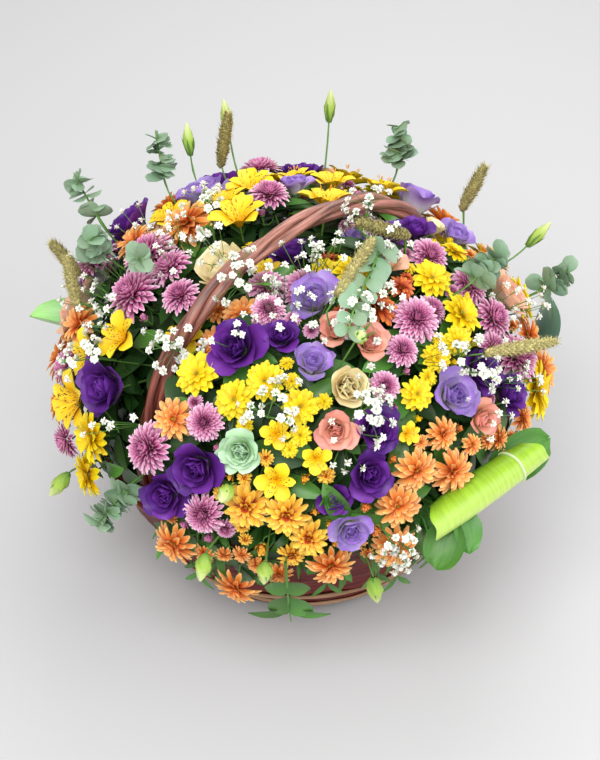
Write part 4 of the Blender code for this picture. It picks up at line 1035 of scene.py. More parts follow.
kinds = {                              # finishes, form, and its solid's radius times this, plus this
    "daisies_yellow": (("yellowDaisies", "discGreen"), daisyForm, 1.16, 0.0070),
    "mums_orange": (("orangeMums", "discGreen"), mumForm, 1.12, 0.0060),
    "mums_gold": (("goldMums", "discAmber"), mumForm, 1.12, 0.0050),
    "mums_pink": (("pinkMums",), buttonForm, 1.12, 0.0035),
    "alstroemerias_yellow": (("yellowAlstroemerias", "discAmber", "streakedYellow"), lilyForm,
                             1.10, 0.0050),
    "lisianthus_violet": (("violetLisianthus",), roseForm, 1.12, 0.0040),
    "lisianthus_lilac": (("lilacLisianthus",), roseForm, 1.12, 0.0040),
    "roses_cream": (("creamRoses",), budRoseForm, 1.20, 0.0040),
    "roses_peach": (("peachRoses",), roseForm, 1.12, 0.0040),
    "rose_mint": (("mintRose",), cabbageForm, 0.84, 0.0),
}
slotFinishes = {"rust_mums": "rustMums", "salmon_roses": "salmonRoses"}
families = {                           # ring, height and depth are shares of the solid's radius
    "daisies": {"ring": 0.42, "height": 0.26, "depth": 0.25, "closeness": 1.45},
    "mums": {"ring": 0.72, "height": 0.42, "depth": 0.32, "closeness": 1.30},
    "alstroemerias": {"ring": 0.50, "height": 0.40, "depth": 0.45, "closeness": 1.30},
    "lisianthus": {"ring": 0.72, "height": 0.52, "depth": 0.48, "closeness": 1.10},
    "roses": {"ring": 0.72, "height": 0.52, "depth": 0.48, "closeness": 1.08},
    "rose": {"ring": 0.72, "height": 0.52, "depth": 0.48, "closeness": 1.02},
}
crowding = {
    "broad": ("roses", "rose", "lisianthus"),
    "broadCloseness": 1.10,            # of any bloom to one of those
    "hanging": 0.215,                  # blooms lower than this are no larger than their solids
}


def readBlooms():
    # Every bloom of the frame, with the room that its neighbours leave it.
    found = []
    for name in sorted(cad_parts):
        kind = next((key for key in kinds if name.startswith(key)), None)
        if kind is None:
            continue
        family = kind.split("_")[0]
        shares = families[family]
        welded = weldedSolid(name)
        for middle, facing, ring, lift, first in crownsOf(welded, 5):
            radius = ring / shares["ring"]
            found.append({"name": name, "kind": kind, "family": family, "facing": facing,
                          "first": first, "radius": radius,
                          "centre": middle - facing * shares["height"] * radius})
        welded.free()
    centres = np.array([bloom["centre"] for bloom in found])
    radii = np.array([bloom["radius"] for bloom in found])
    broad = np.array([bloom["family"] in crowding["broad"] for bloom in found])
    for k, bloom in enumerate(found):
        gaps = np.linalg.norm(centres - bloom["centre"], axis=1)
        gaps[k] = 1.0
        closeness = np.where(broad, crowding["broadCloseness"], families[bloom["family"]]["closeness"])
        room = (gaps * bloom["radius"] / (radii + bloom["radius"]) * closeness).min()
        factor, plus = kinds[bloom["kind"]][2:]
        bloom["size"] = min(bloom["radius"] * factor + plus, max(room, bloom["radius"]))
        if bloom["centre"][2] < crowding["hanging"]:
            bloom["size"] = bloom["radius"]
    return found


sideBlooms = {                         # small blooms and buds between the larger ones
    "tries": 9000,
    "most": 144,
    "size": (0.0073, 0.0150),
    "overlap": 0.80,                   # of its neighbour's radius, which it has to clear
    "uneven": (0.85, 1.0),
    "sink": 0.002,
    "toHandle": 0.022,
    "toParent": 0.075,
    "rootDepth": 0.030,                # below the bloom whose stem it branches from
    "budShare": 0.35,
    "families": ("daisies", "mums"),
    "stalk": 0.0010,
}


def addSideBlooms(found):
    # Each stands wherever three larger blooms leave room between them.
    centres = np.array([bloom["centre"] for bloom in found])
    sizes = np.array([bloom["size"] for bloom in found])
    parents = [k for k, bloom in enumerate(found) if bloom["family"] in sideBlooms["families"]]
    smallest, largest = sideBlooms["size"]
    total = len(found)
    for attempt in range(sideBlooms["tries"]):
        first = dice.integers(total)
        near = np.argsort(np.linalg.norm(centres[:total] - centres[first], axis=1))[1:5]
        other, third = dice.choice(near, 2, replace=False)
        shares = dice.dirichlet((2, 2, 2))
        place = shares @ centres[[first, other, third]]
        facing = outwardAt(place)
        place = place - facing * sideBlooms["sink"]
        gaps = np.linalg.norm(centres - place, axis=1)
        room = (gaps - sizes * sideBlooms["overlap"]).min()
        if room < smallest or distanceToHandle(place) < sideBlooms["toHandle"]:
            continue
        parent = found[parents[int(np.argmin(gaps[parents]))]]
        if np.linalg.norm(parent["centre"] - place) > sideBlooms["toParent"]:
            continue
        size = min(room * 1.1, largest) * dice.uniform(*sideBlooms["uneven"])
        turn = axesFrom(facing, dice.normal(0, 1, 3))[0]
        root = parent["centre"] - parent["facing"] * sideBlooms["rootDepth"]
        found.append({**parent, "centre": place, "facing": facing, "first": turn, "size": size,
                      "radius": size, "root": root, "bud": dice.uniform() < sideBlooms["budShare"]})
        centres = np.vstack((centres, place))
        sizes = np.append(sizes, size)
        if len(found) - total == sideBlooms["most"]:
            break
    print("side blooms", len(found) - total)


def sideShoot(growth, bloom, form, axes, stem, fresh):
    # A side bloom or bud, the green cup under it and the stalk that carries it.
    centre, facing, size, root = bloom["centre"], bloom["facing"], bloom["size"], bloom["root"]
    under = centre - facing * 0.012
    bend = (root + under) / 2 - facing * 0.002
    growth.add(*tube((root, bend, under, centre), sideBlooms["stalk"], 6), stem)
    cup = lathe(size * np.array((0.12, 0.34, 0.40, 1e-3)), size * np.array((-0.25, 0.0, 0.16, 0.2)), 9)
    addPlaced(growth, cup, centre - facing * size * 0.25, axes, fresh)
    placeBloom(growth, (closedForm if bloom["bud"] else form)(size), centre, axes)


greens = {                             # leaves on each bloom's stem
    "leaves": 10,
    "low": 0.275,                      # blooms lower than this have more leaves
    "more": 8,
    "length": (0.034, 0.054),
    "width": 0.44,
    "depth": (0.006, 0.070),           # below the bloom
    "shadeDepth": 0.012,               # leaves nearer to the bloom than this take the fresh green, deeper ones the painted-shade green
}
narrow = {                             # long leaves on low blooms that stand well in
    "leaves": 2,
    "reach": 0.232,
    "length": (0.045, 0.060),
    "width": 0.17,
    "depth": 0.022,
    "lean": 0.75,
    "tries": 12,
}


def leafUnder(growth, start, way, up, length, width, slot, roll=0.25, droop=0.5, rows=7, columns=4):
    # One leaf blade from its foot.
    blade = petals([0.0], 0.25, length, width, (0.12, 0.42, 1.6, 0.04), curl=droop, cup=roll,
                   ruffle=0.0006, rows=rows, columns=columns)
    addPlaced(growth, blade, start, axesFrom(up, way), slot)


def stemLeaves(growth, bloom, axes, dark, fresh):
    centre, facing = bloom["centre"], bloom["facing"]
    for k in range(greens["leaves"] + (greens["more"] if centre[2] < greens["low"] else 0)):
        length = dice.uniform(*greens["length"])
        turn = dice.uniform(0, 2 * math.pi)
        side = axes[0] * math.cos(turn) + axes[1] * math.sin(turn)
        depth = dice.uniform(*greens["depth"])
        start = centre - facing * (0.5 * bloom["radius"] + depth)
        way = side + facing * dice.uniform(0.2, 0.9)
        roll, droop = dice.uniform(0.1, 0.5), dice.uniform(0.2, 0.9)
        # Deeper leaves take the painted-shade finish.
        slot, detail = (fresh, (7, 4)) if depth < greens["shadeDepth"] else (dark, (5, 2))
        leafUnder(growth, start, way, facing, length, length * greens["width"], slot, roll, droop, *detail)


def narrowLeaves(growth, bloom, axes, centres, sizes, slot):
    # Each takes the way on which it passes furthest from other blooms.
    centre, facing = bloom["centre"], bloom["facing"]
    for k in range(narrow["leaves"]):
        length = dice.uniform(*narrow["length"])
        foot = centre - facing * narrow["depth"]
        sides = [axes[0] * math.cos(turn) + axes[1] * math.sin(turn)
                 for turn in dice.uniform(0, 2 * math.pi, narrow["tries"])]
        rooms = []
        for side in sides:
            way = facing + side * narrow["lean"]
            ahead = foot + way / np.linalg.norm(way) * length * 0.8
            rooms.append((np.linalg.norm(centres - ahead, axis=1) - sizes).min())
        if max(rooms) < 0:
            continue
        side = sides[int(np.argmax(rooms))]
        leafUnder(growth, foot, facing + side * narrow["lean"], side, length, length * narrow["width"],
                  slot, 0.2, dice.uniform(-0.2, 0.3))


def bunches():
    found = readBlooms()
    addSideBlooms(found)
    centres = np.array([bloom["centre"] for bloom in found])
    sizes = np.array([bloom["size"] for bloom in found])
    for name in sorted({bloom["name"] for bloom in found}):
        blooms = [bloom for bloom in found if bloom["name"] == name]
        shares = families[blooms[0]["family"]]
        finishNames, form = kinds[blooms[0]["kind"]][:2]
        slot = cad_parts[name].data.materials[0].name
        names = [slotFinishes.get(slot, finishNames[0]), *finishNames[1:]]
        # dark is the slot of the painted-shade leaf finish.
        stem, dark, fresh = len(names), len(names) + 1, len(names) + 2
        welded = weldedSolid(name)
        growth = Growth()
        for bloom in blooms:
            centre, facing, radius = bloom["centre"], bloom["facing"], bloom["radius"]
            axes = axesFrom(facing + dice.normal(0, 0.12, 3), bloom["first"])
            if "root" in bloom:
                sideShoot(growth, bloom, form, axes, stem, fresh)
                continue
            strip(welded, centre - facing * shares["depth"] * radius * 0.9, facing, 2 * radius,
                  1.1 * radius)
            placeBloom(growth, form(bloom["size"]), centre, axes)
            stemLeaves(growth, bloom, axes, dark, fresh)
            if centre[2] < greens["low"] and np.linalg.norm(centre[:2]) < narrow["reach"]:
                narrowLeaves(growth, bloom, axes, centres, sizes, fresh)
        stemsOf(welded, growth, stem)
        welded.free()
        piece = growth.build("bunch_" + name, [*names, "stemGreen", "shadedLeaf", "freshLeaf"])
        dress(piece, slot, name)
    print("blooms opened")


def pieceName(name):
    return "grown_" + name


eucalyptusStems = {
    "outline": (0.28, 0.52, 2.0, 0.12),
    "foot": 1.05,                      # from a round leaf's middle to its foot, of its radius
    "whorl": ((0.0, 0.82), (1.5, 0.62), (3.0, 0.74), (4.6, 0.58)),     # turn and size of each leaf
    "apart": (0.012, 0.040),           # leaf feet this far apart have leaves between them,
    "between": (0.35, 0.7),            # at these shares of the way,
    "betweenSize": (0.013, 0.019),     # this long
}
trailing = {                           # a eucalyptus stem that hangs over the blooms
    "on": "eucalyptus_right",
    "route": ((0.066, -0.040, 0.390), (0.076, -0.046, 0.411), (0.070, -0.070, 0.411),
              (0.060, -0.096, 0.406), (0.050, -0.120, 0.400), (0.044, -0.143, 0.391)),
    "pairs": 9,
    "first": 0.14,                     # share of the stem below the first pair
    "leaf": (0.018, 0.024),
    "rod": 0.0011,
}


def roundLeaf(length, width, lean, curl, cup, rows):
    return petals([0.0], lean, length, width, eucalyptusStems["outline"], curl=curl, cup=cup,
                  rows=rows, columns=6)


def pointAlong(corners, share):
    ends = np.linspace(0, 1, len(corners))
    return np.array([np.interp(share, ends, corners[:, axis]) for axis in range(3)])


def trailingStem(growth):
    corners = np.array(trailing["route"])
    growth.add(*tube(corners, trailing["rod"], 6), 1)
    first = trailing["first"]
    for k in range(trailing["pairs"]):
        share = first + (1 - first) * k / (trailing["pairs"] - 1)
        step = 0.02 if share < 0.98 else -0.02
        at = pointAlong(corners, share)
        along = (pointAlong(corners, share + step) - at) * np.sign(step)
        along /= np.linalg.norm(along)
        up = outwardAt(at)
        turn = (0.35 if k % 2 else -0.35) + dice.uniform(-0.25, 0.25)
        side = np.cross(along, up) * math.cos(turn) + up * math.sin(turn)
        for sign in (-1, 1):
            size = dice.uniform(*trailing["leaf"]) * (1 - 0.25 * share)
            leaf = roundLeaf(size, size * 0.95, 0.2, dice.uniform(0.1, 0.6), 0.2, 7)
            way = sign * side + along * dice.uniform(0.1, 0.6) + up * 0.25
            addPlaced(growth, leaf, at, axesFrom(up + dice.normal(0, 0.25, 3), way), 0)


def leavesBetween(growth, roots):
    # Small leaves in pairs on the stems between the round ones.
    nearest, furthest = eucalyptusStems["apart"]
    for k, root in enumerate(roots):
        gaps = np.linalg.norm(roots - root, axis=1)
        for other in np.flatnonzero((gaps > nearest) & (gaps < furthest)):
            if other < k:
                continue
            for share in eucalyptusStems["between"]:
                at = root + (roots[other] - root) * share
                along = (roots[other] - root) / gaps[other]
                for sign in (-1, 1):
                    out = sign * np.cross(along, dice.normal(0, 1, 3)) + along * 0.5
                    size = dice.uniform(*eucalyptusStems["betweenSize"])
                    leaf = roundLeaf(size, size * 0.9, 0.2, dice.uniform(-0.2, 0.5), 0.22, 6)
                    addPlaced(growth, leaf, at, axesFrom(along + outwardAt(at) * 0.6, out), 0)


def eucalyptus():
    foot = eucalyptusStems["foot"]
    for name in sorted(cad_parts):
        if not name.startswith("eucalyptus"):
            continue
        welded = weldedSolid(name)
        growth = Growth()
        gone = set()
        discs = discsOf(welded)
        leavesBetween(growth, np.array([middle - way * radius * foot
                                        for middle, normal, radius, way, corners in discs]))
        for middle, normal, radius, way, corners in discs:
            gone.update(corners)
            if normal @ outwardAt(middle) < 0:
                normal = -normal
            root = middle - way * radius * foot
            for turn, scale in eucalyptusStems["whorl"]:
                turn += dice.uniform(-0.3, 0.3)
                side = np.cross(normal, way)
                out = way * math.cos(turn) + side * math.sin(turn)
                tilt = normal + dice.normal(0, 0.45, 3)
                leaf = roundLeaf(2 * radius * scale, 2 * radius * scale * 0.92, 0.15,
                                 dice.uniform(-0.3, 0.5), 0.22, 7)
                addPlaced(growth, leaf, root, axesFrom(tilt, out), 0)
        if name == trailing["on"]:
            trailingStem(growth)
        bmesh.ops.delete(welded, geom=list(gone), context="VERTS")
        stemsOf(welded, growth, 1)
        welded.free()
        dress(growth.build(pieceName(name), ["eucalyptusLeaf", "stemGreen"]), "eucalyptus", name)
    print("eucalyptus grown")


seedHeads = {
    "seeds": 280,
    "ringAt": 0.16,                    # the solid's ring lies this share of a head below its tip
    "thickness": 2.1,                  # of the solid's ring
    "scales": (                        # length, width, elevation, and how far out each stands
        (0.0052, 0.0034, 0.85, 0.60),
        (0.0100, 0.0004, 0.90, 0.55),
    ),
    "outline": (0.5, 0.5, 2.0, 0.1),
}
leaningHead = {                        # a seed head that leans among the blooms: its foot and tip
    "on": "grass_heads_right",
    "foot": (0.034, -0.108, 0.402),
    "tip": (0.068, -0.052, 0.424),
    "ring": 0.0030,
    "stalkFrom": 0.33,
    "stalk": 0.0009,
}


def addLeaningHead(growth, heads):
    foot, tip = np.array(leaningHead["foot"]), np.array(leaningHead["tip"])
    length = np.linalg.norm(tip - foot)
    way = (tip - foot) / length
    lift = length * seedHeads["ringAt"]
    middle = tip - way * length * seedHeads["ringAt"]
    heads.append((middle, way, leaningHead["ring"], lift, (1.0, 0, 0)))
    start = foot * (1, 1, 0) + (0, 0, leaningHead["stalkFrom"])
    growth.add(*tube((start, foot - way * 0.02, foot), leaningHead["stalk"], 6), 1)


def seedHead(growth, tip, axes, ring, length):
    count = seedHeads["seeds"]
    share = (np.arange(count) + 0.5) / count
    thick = (ring * seedHeads["thickness"]
             * np.sin(math.pi * np.clip(share * 0.96 + 0.04, 0, 1)) ** 0.5)
    azimuth = np.arange(count) * turnStep
    for long, wide, lean, stand in seedHeads["scales"]:
        scales = petals(azimuth, lean + dice.uniform(-0.2, 0.2, count), uneven(count, long, 0.25), wide,
                        seedHeads["outline"], curl=-0.3, cup=0.8, rootOut=thick * stand,
                        rootUp=-length * (1 - share) - 0.003, rows=3, columns=2)
        addPlaced(growth, scales, tip, axes, 0)
    core = lathe(np.append(thick[::17] * 0.7, 1e-4), np.append(-length * (1 - share[::17]), 0), 8)
    addPlaced(growth, core, tip, axes, 0)


def grassHeads():
    for name in sorted(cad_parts):
        if not name.startswith("grass_heads"):
            continue
        welded = weldedSolid(name)
        growth = Growth()
        heads = crownsOf(welded, 6)
        if name == leaningHead["on"]:
            addLeaningHead(growth, heads)
        for middle, facing, ring, lift, first in heads:
            length = lift / seedHeads["ringAt"]
            tip = middle + facing * lift
            strip(welded, tip - facing * length * 0.88, facing, 2 * length, 0.009)
            seedHead(growth, tip, axesFrom(facing, first), ring, length)
        stemsOf(welded, growth, 1)
        welded.free()
        dress(growth.build(pieceName(name), ["grassSeed", "stemGreen"]), "grass_heads", name)
    print("seed heads grown")


whiteClouds = {                        # round each crown of the gypsophila's solids
    "flowers": 8,
    "petals": 14,
    "rows": 3,
    "size": (0.0038, 0.0052),
    "spread": 0.012,
    "widest": 0.022,
    "root": 0.012,                     # below the crown
    "stalk": 0.00028,
}
whiteSprays = {                        # loose sprays among the blooms
    "groups": 40,
    "flowers": 6,
    "petals": 10,
    "rows": 2,
    "size": (0.0036, 0.0048),
    "azimuth": (-125.0, 110.0),
    "elevation": (0.38, 1.35),
    "root": 0.90,                      # share of the dome's size where a spray's stems meet
    "reach": (0.030, 0.044),
    "spread": 0.013,
    "widest": 0.024,
    "highest": 0.43,
    "toHandle": 0.040,
    "stalk": 0.00035,
}


def whiteFlower(growth, at, facing, first, size, count, rows):
    share = (np.arange(count) + 0.5) / count
    flower = petals(np.arange(count) * turnStep, np.radians(85 - 95 * share), size, size * 0.75,
                    (0.4, 0.6, 2.0, 0.3), curl=0.4, cup=0.4, ruffle=size * 0.12, rows=rows, columns=2)
    addPlaced(growth, flower, at, axesFrom(facing, first), 0)


def gypsophila():
    spread, widest = whiteClouds["spread"], whiteClouds["widest"]
    for name in sorted(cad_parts):
        if not name.startswith("gypsophila"):
            continue
        welded = weldedSolid(name)
        growth = Growth()
        for middle, facing, ring, lift, first in crownsOf(welded, 4):
            root = middle - facing * whiteClouds["root"]
            for k in range(whiteClouds["flowers"]):
                offset = np.clip(dice.normal(0, spread, 3), -widest, widest) if k else np.zeros(3)
                at = middle + offset - facing * max(offset @ facing, 0)
                axes = axesFrom(facing + offset * 50, first)
                whiteFlower(growth, at, axes[2], axes[0], dice.uniform(*whiteClouds["size"]),
                            whiteClouds["petals"], whiteClouds["rows"])
                bend = (root + at) / 2 + dice.normal(0, 0.001, 3)
                growth.add(*tube((root, bend, at), whiteClouds["stalk"], 4), 1)
        stemsOf(welded, growth, 1, 0.0)
        welded.free()
        dress(growth.build(pieceName(name), ["gypsophila", "stemGreen"]), "gypsophila", name)
    print("gypsophila grown")


def looseSprays():
    growth = Growth()
    widest = whiteSprays["widest"]
    for group in range(whiteSprays["groups"]):
        out = direction(dice.uniform(*whiteSprays["azimuth"]))
        rise = dice.uniform(*whiteSprays["elevation"])
        root = dome["centre"] + dome["size"] * whiteSprays["root"] * (
            out * math.cos(rise) + np.array((0, 0, math.sin(rise))))
        facing = outwardAt(root)
        if distanceToHandle(root + facing * 0.03) < whiteSprays["toHandle"]:
            continue
        for k in range(whiteSprays["flowers"]):
            offset = np.clip(dice.normal(0, whiteSprays["spread"], 3), -widest, widest)
            at = root + offset + facing * dice.uniform(*whiteSprays["reach"])
            size = dice.uniform(*whiteSprays["size"])
            if at[2] > whiteSprays["highest"]:
                continue
            whiteFlower(growth, at, facing + offset * 40, dice.normal(0, 1, 3), size,
                        whiteSprays["petals"], whiteSprays["rows"])
            bend = (root + at) / 2 + offset * 0.1
            growth.add(*tube((root, bend, at), whiteSprays["stalk"], 4), 1)
    growth.build("looseSprays", ["gypsophila", "stemGreen"])
    print("loose sprays set")


closedBuds = {
    "ringAt": 0.28,                    # the solid's ring lies this share of a bud below its tip
    "radius": 0.0086,
    "backRadius": 0.0066,              # of those at the back
    "lobes": (5, 0.16, 2.6),           # how many, how deep, how far they twist
    "sepal": 0.021,
    "sepalWidth": 0.0034,
}


def buds():
    for name in sorted(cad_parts):
        if not name.startswith("lisianthus_buds"):
            continue
        widest = closedBuds["backRadius"] if name.endswith("back") else closedBuds["radius"]
        share = np.linspace(0, 1, 13)
        swell = np.sin(math.pi * np.clip(share * 0.93 + 0.05, 0, 1)) ** 0.8
        radius = widest * swell * (1 - 0.35 * share)
        welded = weldedSolid(name)
        growth = Growth()
        for middle, facing, ring, lift, first in crownsOf(welded, 5):
            length = lift / closedBuds["ringAt"]
            tip = middle + facing * lift
            axes = axesFrom(facing, first)
            strip(welded, tip - facing * length * 0.85, facing, 2 * length, 0.010)
            bud = lathe(radius, length * 1.06 * share, 20, *closedBuds["lobes"])
            addPlaced(growth, bud, tip - facing * length, axes, 0)
            sepals = petals(ringOf(5), 1.25, uneven(5, closedBuds["sepal"], 0.15), closedBuds["sepalWidth"],
                            (0.6, 0.3, 1.4, 0.02), curl=-0.25, cup=0.5, rootOut=0.003, rows=5, columns=2)
            addPlaced(growth, sepals, tip - facing * length * 0.99, axes, 1)
        stemsOf(welded, growth, 1)
        welded.free()
        dress(growth.build(pieceName(name), ["budGreen", "stemGreen"]), "lisianthus_buds", name)
    print("buds grown")


def partnersOf(welded, thickness):
    # For each corner of a thin blade, the corner straight across it.
    places = np.array([corner.co for corner in welded.verts])
    partner = {}
    for a in range(len(places)):
        gaps = np.linalg.norm(places - places[a], axis=1)
        near = [b for b in np.flatnonzero(abs(gaps - thickness) < sameLength) if b != a]
        if near:
            partner[a] = near[0]
    return places, partner


def joinedCorners(welded, partner, start):
    group, queue, seen = [], [start], {start}
    while queue:
        corner = welded.verts[queue.pop()]
        group.append(corner.index)
        for edge in corner.link_edges:
            other = edge.other_vert(corner).index
            if other in partner and other not in seen:
                seen.add(other)
                queue.append(other)
    return group


def firstBlade(welded, thickness=0.0010):
    # Takes the leaf's blade off the solid: its foot, tip and upper side. The stem is left.
    places, partner = partnersOf(welded, thickness)
    for start in partner:
        group = joinedCorners(welded, partner, start)
        if len(group) > 12:            # a stem's corners are fewer
            break
    cloud = places[group]
    middle = cloud.mean(0)
    axis = np.linalg.svd(cloud - middle)[2][0]
    if axis @ (middle - dome["centre"]) < 0:
        axis = -axis
    along = (cloud - middle) @ axis
    normals = np.array([places[a] - places[partner[a]] for a in group]) / thickness
    normals *= np.sign(normals @ outwardAt(middle))[:, None]
    bmesh.ops.delete(welded, geom=[welded.verts[k] for k in group], context="VERTS")
    return middle + axis * along.min(), middle + axis * along.max(), normals.mean(0)


largeLeaves = {
    "leaf_folded_left": {"finish": "paleLeaf", "slot": "pale_leaf", "width": 0.042, "fold": 0.9,
                         "droop": 0.25},
    "leaf_blue_right": {"finish": "blueLeaf", "slot": "blue_leaf", "width": 0.046, "fold": 0.35,
                        "droop": 0.35},
}


def largeLeaf(name):
    leaf = largeLeaves[name]
    welded = weldedSolid(name)
    growth = Growth()
    base, tip, normal = firstBlade(welded)
    way = tip - base
    length = float(np.linalg.norm(way))
    blade = petals([0.0], leaf["droop"] / 2, length * 1.06, leaf["width"], (0.25, 0.42, 1.8, 0.03),
                   curl=leaf["droop"], cup=leaf["fold"], ruffle=0.0012, rows=14, columns=10)
    addPlaced(growth, blade, base - way * 0.03, axesFrom(normal, way / length), 0)
    stemsOf(welded, growth, 1)
    welded.free()
    dress(growth.build(pieceName(name), [leaf["finish"], "stemGreen"]), leaf["slot"], name)
    print("large leaf", name)


rolledLeaf = {
    "on": "leaf_rolled_front_right",
    "rows": 30,
    "columns": 26,
    "radius": 0.0175,
    "turns": 0.86,                     # how much of a full roll it makes
    "skew": 0.25,
    "before": 0.012,
    "beyond": 0.016,
    "ribAt": 0.80,
    "rib": 0.0016,
    "leaves": (                        # beside it: foot from its base, way, upper side, length, width
        ((0.0, 0.008, -0.006), (-0.35, -0.75, -0.55), (-0.2, -0.6, 0.8), 0.050, 0.040),
        ((0.01, 0.02, -0.002), (0.15, -0.85, -0.5), (0.3, -0.5, 0.8), 0.044, 0.030),
        ((0.035, 0.060, 0.000), (0.85, 0.55, 0.12), (0.35, -0.60, 0.75), 0.085, 0.046),
    ),
}


def rolled():
    name = rolledLeaf["on"]
    welded = weldedSolid(name)
    growth = Growth()
    base, tip, normal = firstBlade(welded)
    way = (tip - base) / np.linalg.norm(tip - base)
    start, end = base - way * rolledLeaf["before"], tip + way * rolledLeaf["beyond"]
    axes = axesFrom(way, normal)
    rows, columns = rolledLeaf["rows"], rolledLeaf["columns"]
    along, across, faces = grid(rows, columns)
    turn = across * math.pi * rolledLeaf["turns"] + rolledLeaf["skew"] * (along - 0.5)
    radius = rolledLeaf["radius"] * (0.86 + 0.22 * np.sin(math.pi * np.clip(along * 0.9 + 0.1, 0, 1)))
    radius = radius * (1 - 0.16 * (across + 1) / 2) * (1 + 0.02 * np.sin(9 * along + 2 * across))
    edge = (0.012 * np.cos(across * 2.2) + 0.0016 * np.sin(11 * across)) * (2 * along - 1) ** 3
    x, y = radius * np.cos(turn), radius * np.sin(turn)
    z = along * np.linalg.norm(end - start) + edge
    points = np.stack((x, y, z), -1).reshape(1, -1, 3)
    inward = start - normal * rolledLeaf["radius"] * 0.75
    # The tone runs round the roll, for the finish's painted highlight and shade.
    tones = np.stack(np.broadcast_arrays((across.ravel() + 1) / 2, 2 * along.ravel() - 1, 0.3), -1)
    growth.add(placed(points, inward, axes), faces, tones[None], 0)
    row = np.abs(along[:, 0] - rolledLeaf["ribAt"]).argmin()
    ring = points[0].reshape(rows + 1, columns + 1, 3)[row] * (1.02, 1.02, 1.0)
    addPlaced(growth, tube(ring, rolledLeaf["rib"], 6), inward, axes, 2)
    for foot, way, up, length, width in rolledLeaf["leaves"]:
        leaf = petals([0.0], 0.1, length, width, (0.30, 0.45, 2.0, 0.05), curl=0.35, cup=0.25,
                      ruffle=0.0022, rows=10, columns=10)
        addPlaced(growth, leaf, base + foot, axesFrom(up, way), 3)
    stemsOf(welded, growth, 1)
    welded.free()
    dress(growth.build(pieceName(name), ["brightLeaf", "stemGreen", "paleRib", "freshLeaf"]), "bright_leaf",
          name)
    print("rolled leaf grown")


hangingSprig = {
    "on": "leaves_hanging_front",
    "leaves": (                        # place on the stem, length, width, how far to the side
        (0.28, 0.030, 0.020, 1.2),
        (0.52, 0.036, 0.022, 0.7),
        (0.74, 0.048, 0.011, 2.2),
    ),
    "stem": (0.0016, 0.0008),
    "bow": 0.006,
}


def sprig():
    name = hangingSprig["on"]
    welded = weldedSolid(name)
    growth = Growth()
    base, tip, normal = firstBlade(welded)
    if base[2] < tip[2]:
        base, tip = tip, base
    way = tip - base
    share = np.linspace(0, 1, 9)[:, None]
    route = base + way * share + normal * hangingSprig["bow"] * np.sin(math.pi * share)
    growth.add(*tube(route, np.linspace(*hangingSprig["stem"], 9), 6), 1)
    down = way / np.linalg.norm(way)
    side = np.cross(normal, down)
    for share, length, width, out in hangingSprig["leaves"]:
        at = base + way * share + normal * 0.004
        for sign in (-1, 1):
            long = length * dice.uniform(0.9, 1.1)
            leafUnder(growth, at, side * sign * out + down + normal * 0.2, normal + side * sign * 0.3, long,
                      width, 0, 0.3, 0.4)
    stemsOf(welded, growth, 1)
    welded.free()
    dress(growth.build(pieceName(name), ["freshLeaf", "stemGreen"]), "dark_leaf", name)
    print("hanging leaves grown")


skirt = {                              # leaves set in the foam's edge, which hide the liner
    "leaves": 190,
    "radius": (0.125, 0.168),
    "height": (0.168, 0.200),
    "length": (0.036, 0.062),
    "width": (0.34, 0.5),
    "roll": (0.1, 0.4),
    "droop": (0.4, 1.3),
    "rise": (-0.1, 0.5),
    "aside": 0.45,
    "tilt": 0.3,
}
fringe = {                             # narrow leaves that fall over the front of the rim
    "leaves": 52,
    "azimuth": (-34.0, 42.0),
    "radius": (0.184, 0.204),
    "height": (0.176, 0.190),
    "length": (0.042, 0.070),
    "width": (0.12, 0.22),
    "roll": (0.1, 0.5),
    "droop": (1.1, 2.2),
    "rise": (-0.3, 0.3),
    "aside": 0.35,
    "tilt": 0.4,
    "stalkEvery": 4,
    "stalk": 0.0010,
    "stalkDrop": (0.025, 0.050),
}


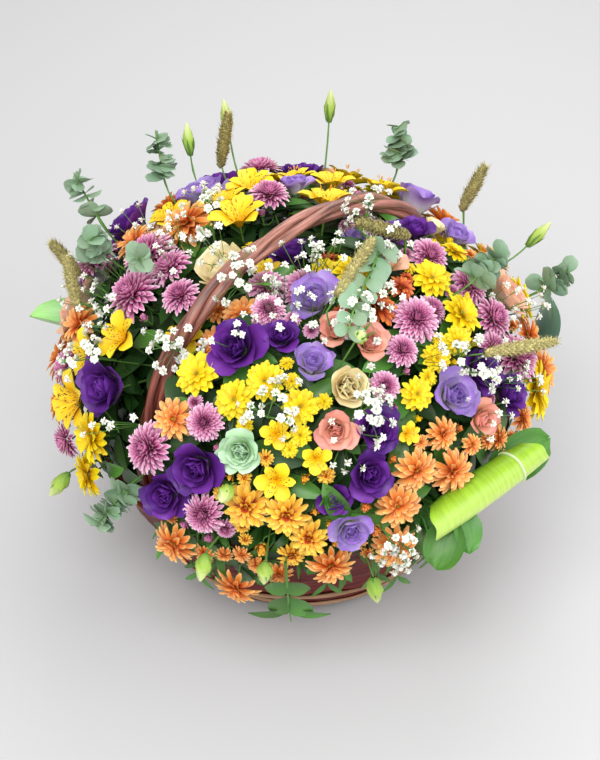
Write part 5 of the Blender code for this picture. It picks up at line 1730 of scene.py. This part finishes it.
def edgeLeaf(growth, look, out, side, slot):
    # One leaf that leans out over the rim. It gives back where the leaf starts.
    start = out * dice.uniform(*look["radius"]) + (0, 0, dice.uniform(*look["height"]))
    length = dice.uniform(*look["length"])
    way = out + side * dice.normal(0, look["aside"]) + np.array((0, 0, dice.uniform(*look["rise"])))
    up = np.array((0, 0, 1.0)) + side * dice.normal(0, look["tilt"])
    width = length * dice.uniform(*look["width"])
    leafUnder(growth, start, way, up, length, width, slot, dice.uniform(*look["roll"]),
              dice.uniform(*look["droop"]))
    return start


def fallingStalk(growth, start, out, side):
    bend = start + out * 0.030 + (0, 0, 0.004)
    end = bend + out * 0.010 + side * dice.normal(0, 0.012) - (0, 0, dice.uniform(*fringe["stalkDrop"]))
    growth.add(*tube((start, start + out * 0.018 + (0, 0, 0.006), bend, end), fringe["stalk"], 6), 1)
    for sign in (-1, 1):
        leafUnder(growth, end, out * 0.5 + side * sign * 0.8 - (0, 0, 0.9), out, 0.024, 0.006, 1)


def rimFoliage():
    growth = Growth()
    for k in range(skirt["leaves"]):
        azimuth = 360 * (k + dice.uniform(-0.4, 0.4)) / skirt["leaves"]
        # Two skirt leaves in three take the painted-shade finish.
        edgeLeaf(growth, skirt, direction(azimuth), direction(azimuth + 90), int(k % 3 == 0))
    for k in range(fringe["leaves"]):
        azimuth = dice.uniform(*fringe["azimuth"])
        out, side = direction(azimuth), direction(azimuth + 90)
        start = edgeLeaf(growth, fringe, out, side, 1)
        if k % fringe["stalkEvery"] == 0:
            fallingStalk(growth, start, out, side)
    growth.build("rimFoliage", ["shadedLeaf", "freshLeaf"])
    print("foliage laid over the rim")


setCamera()
layFloor()
setLights()
basketWall()
basketRim()
basketBands()
handleRods()
insides()
bunches()
eucalyptus()
grassHeads()
gypsophila()
looseSprays()
buds()
for leafName in largeLeaves:
    largeLeaf(leafName)
rolled()
sprig()
rimFoliage()
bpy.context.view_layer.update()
triangles = {piece.name: sum(len(face.vertices) - 2 for face in piece.data.polygons)
             for piece in bpy.data.objects if piece.type == "MESH" and not piece.hide_render}
print("triangles", sum(triangles.values()), "most", max(triangles.values()))
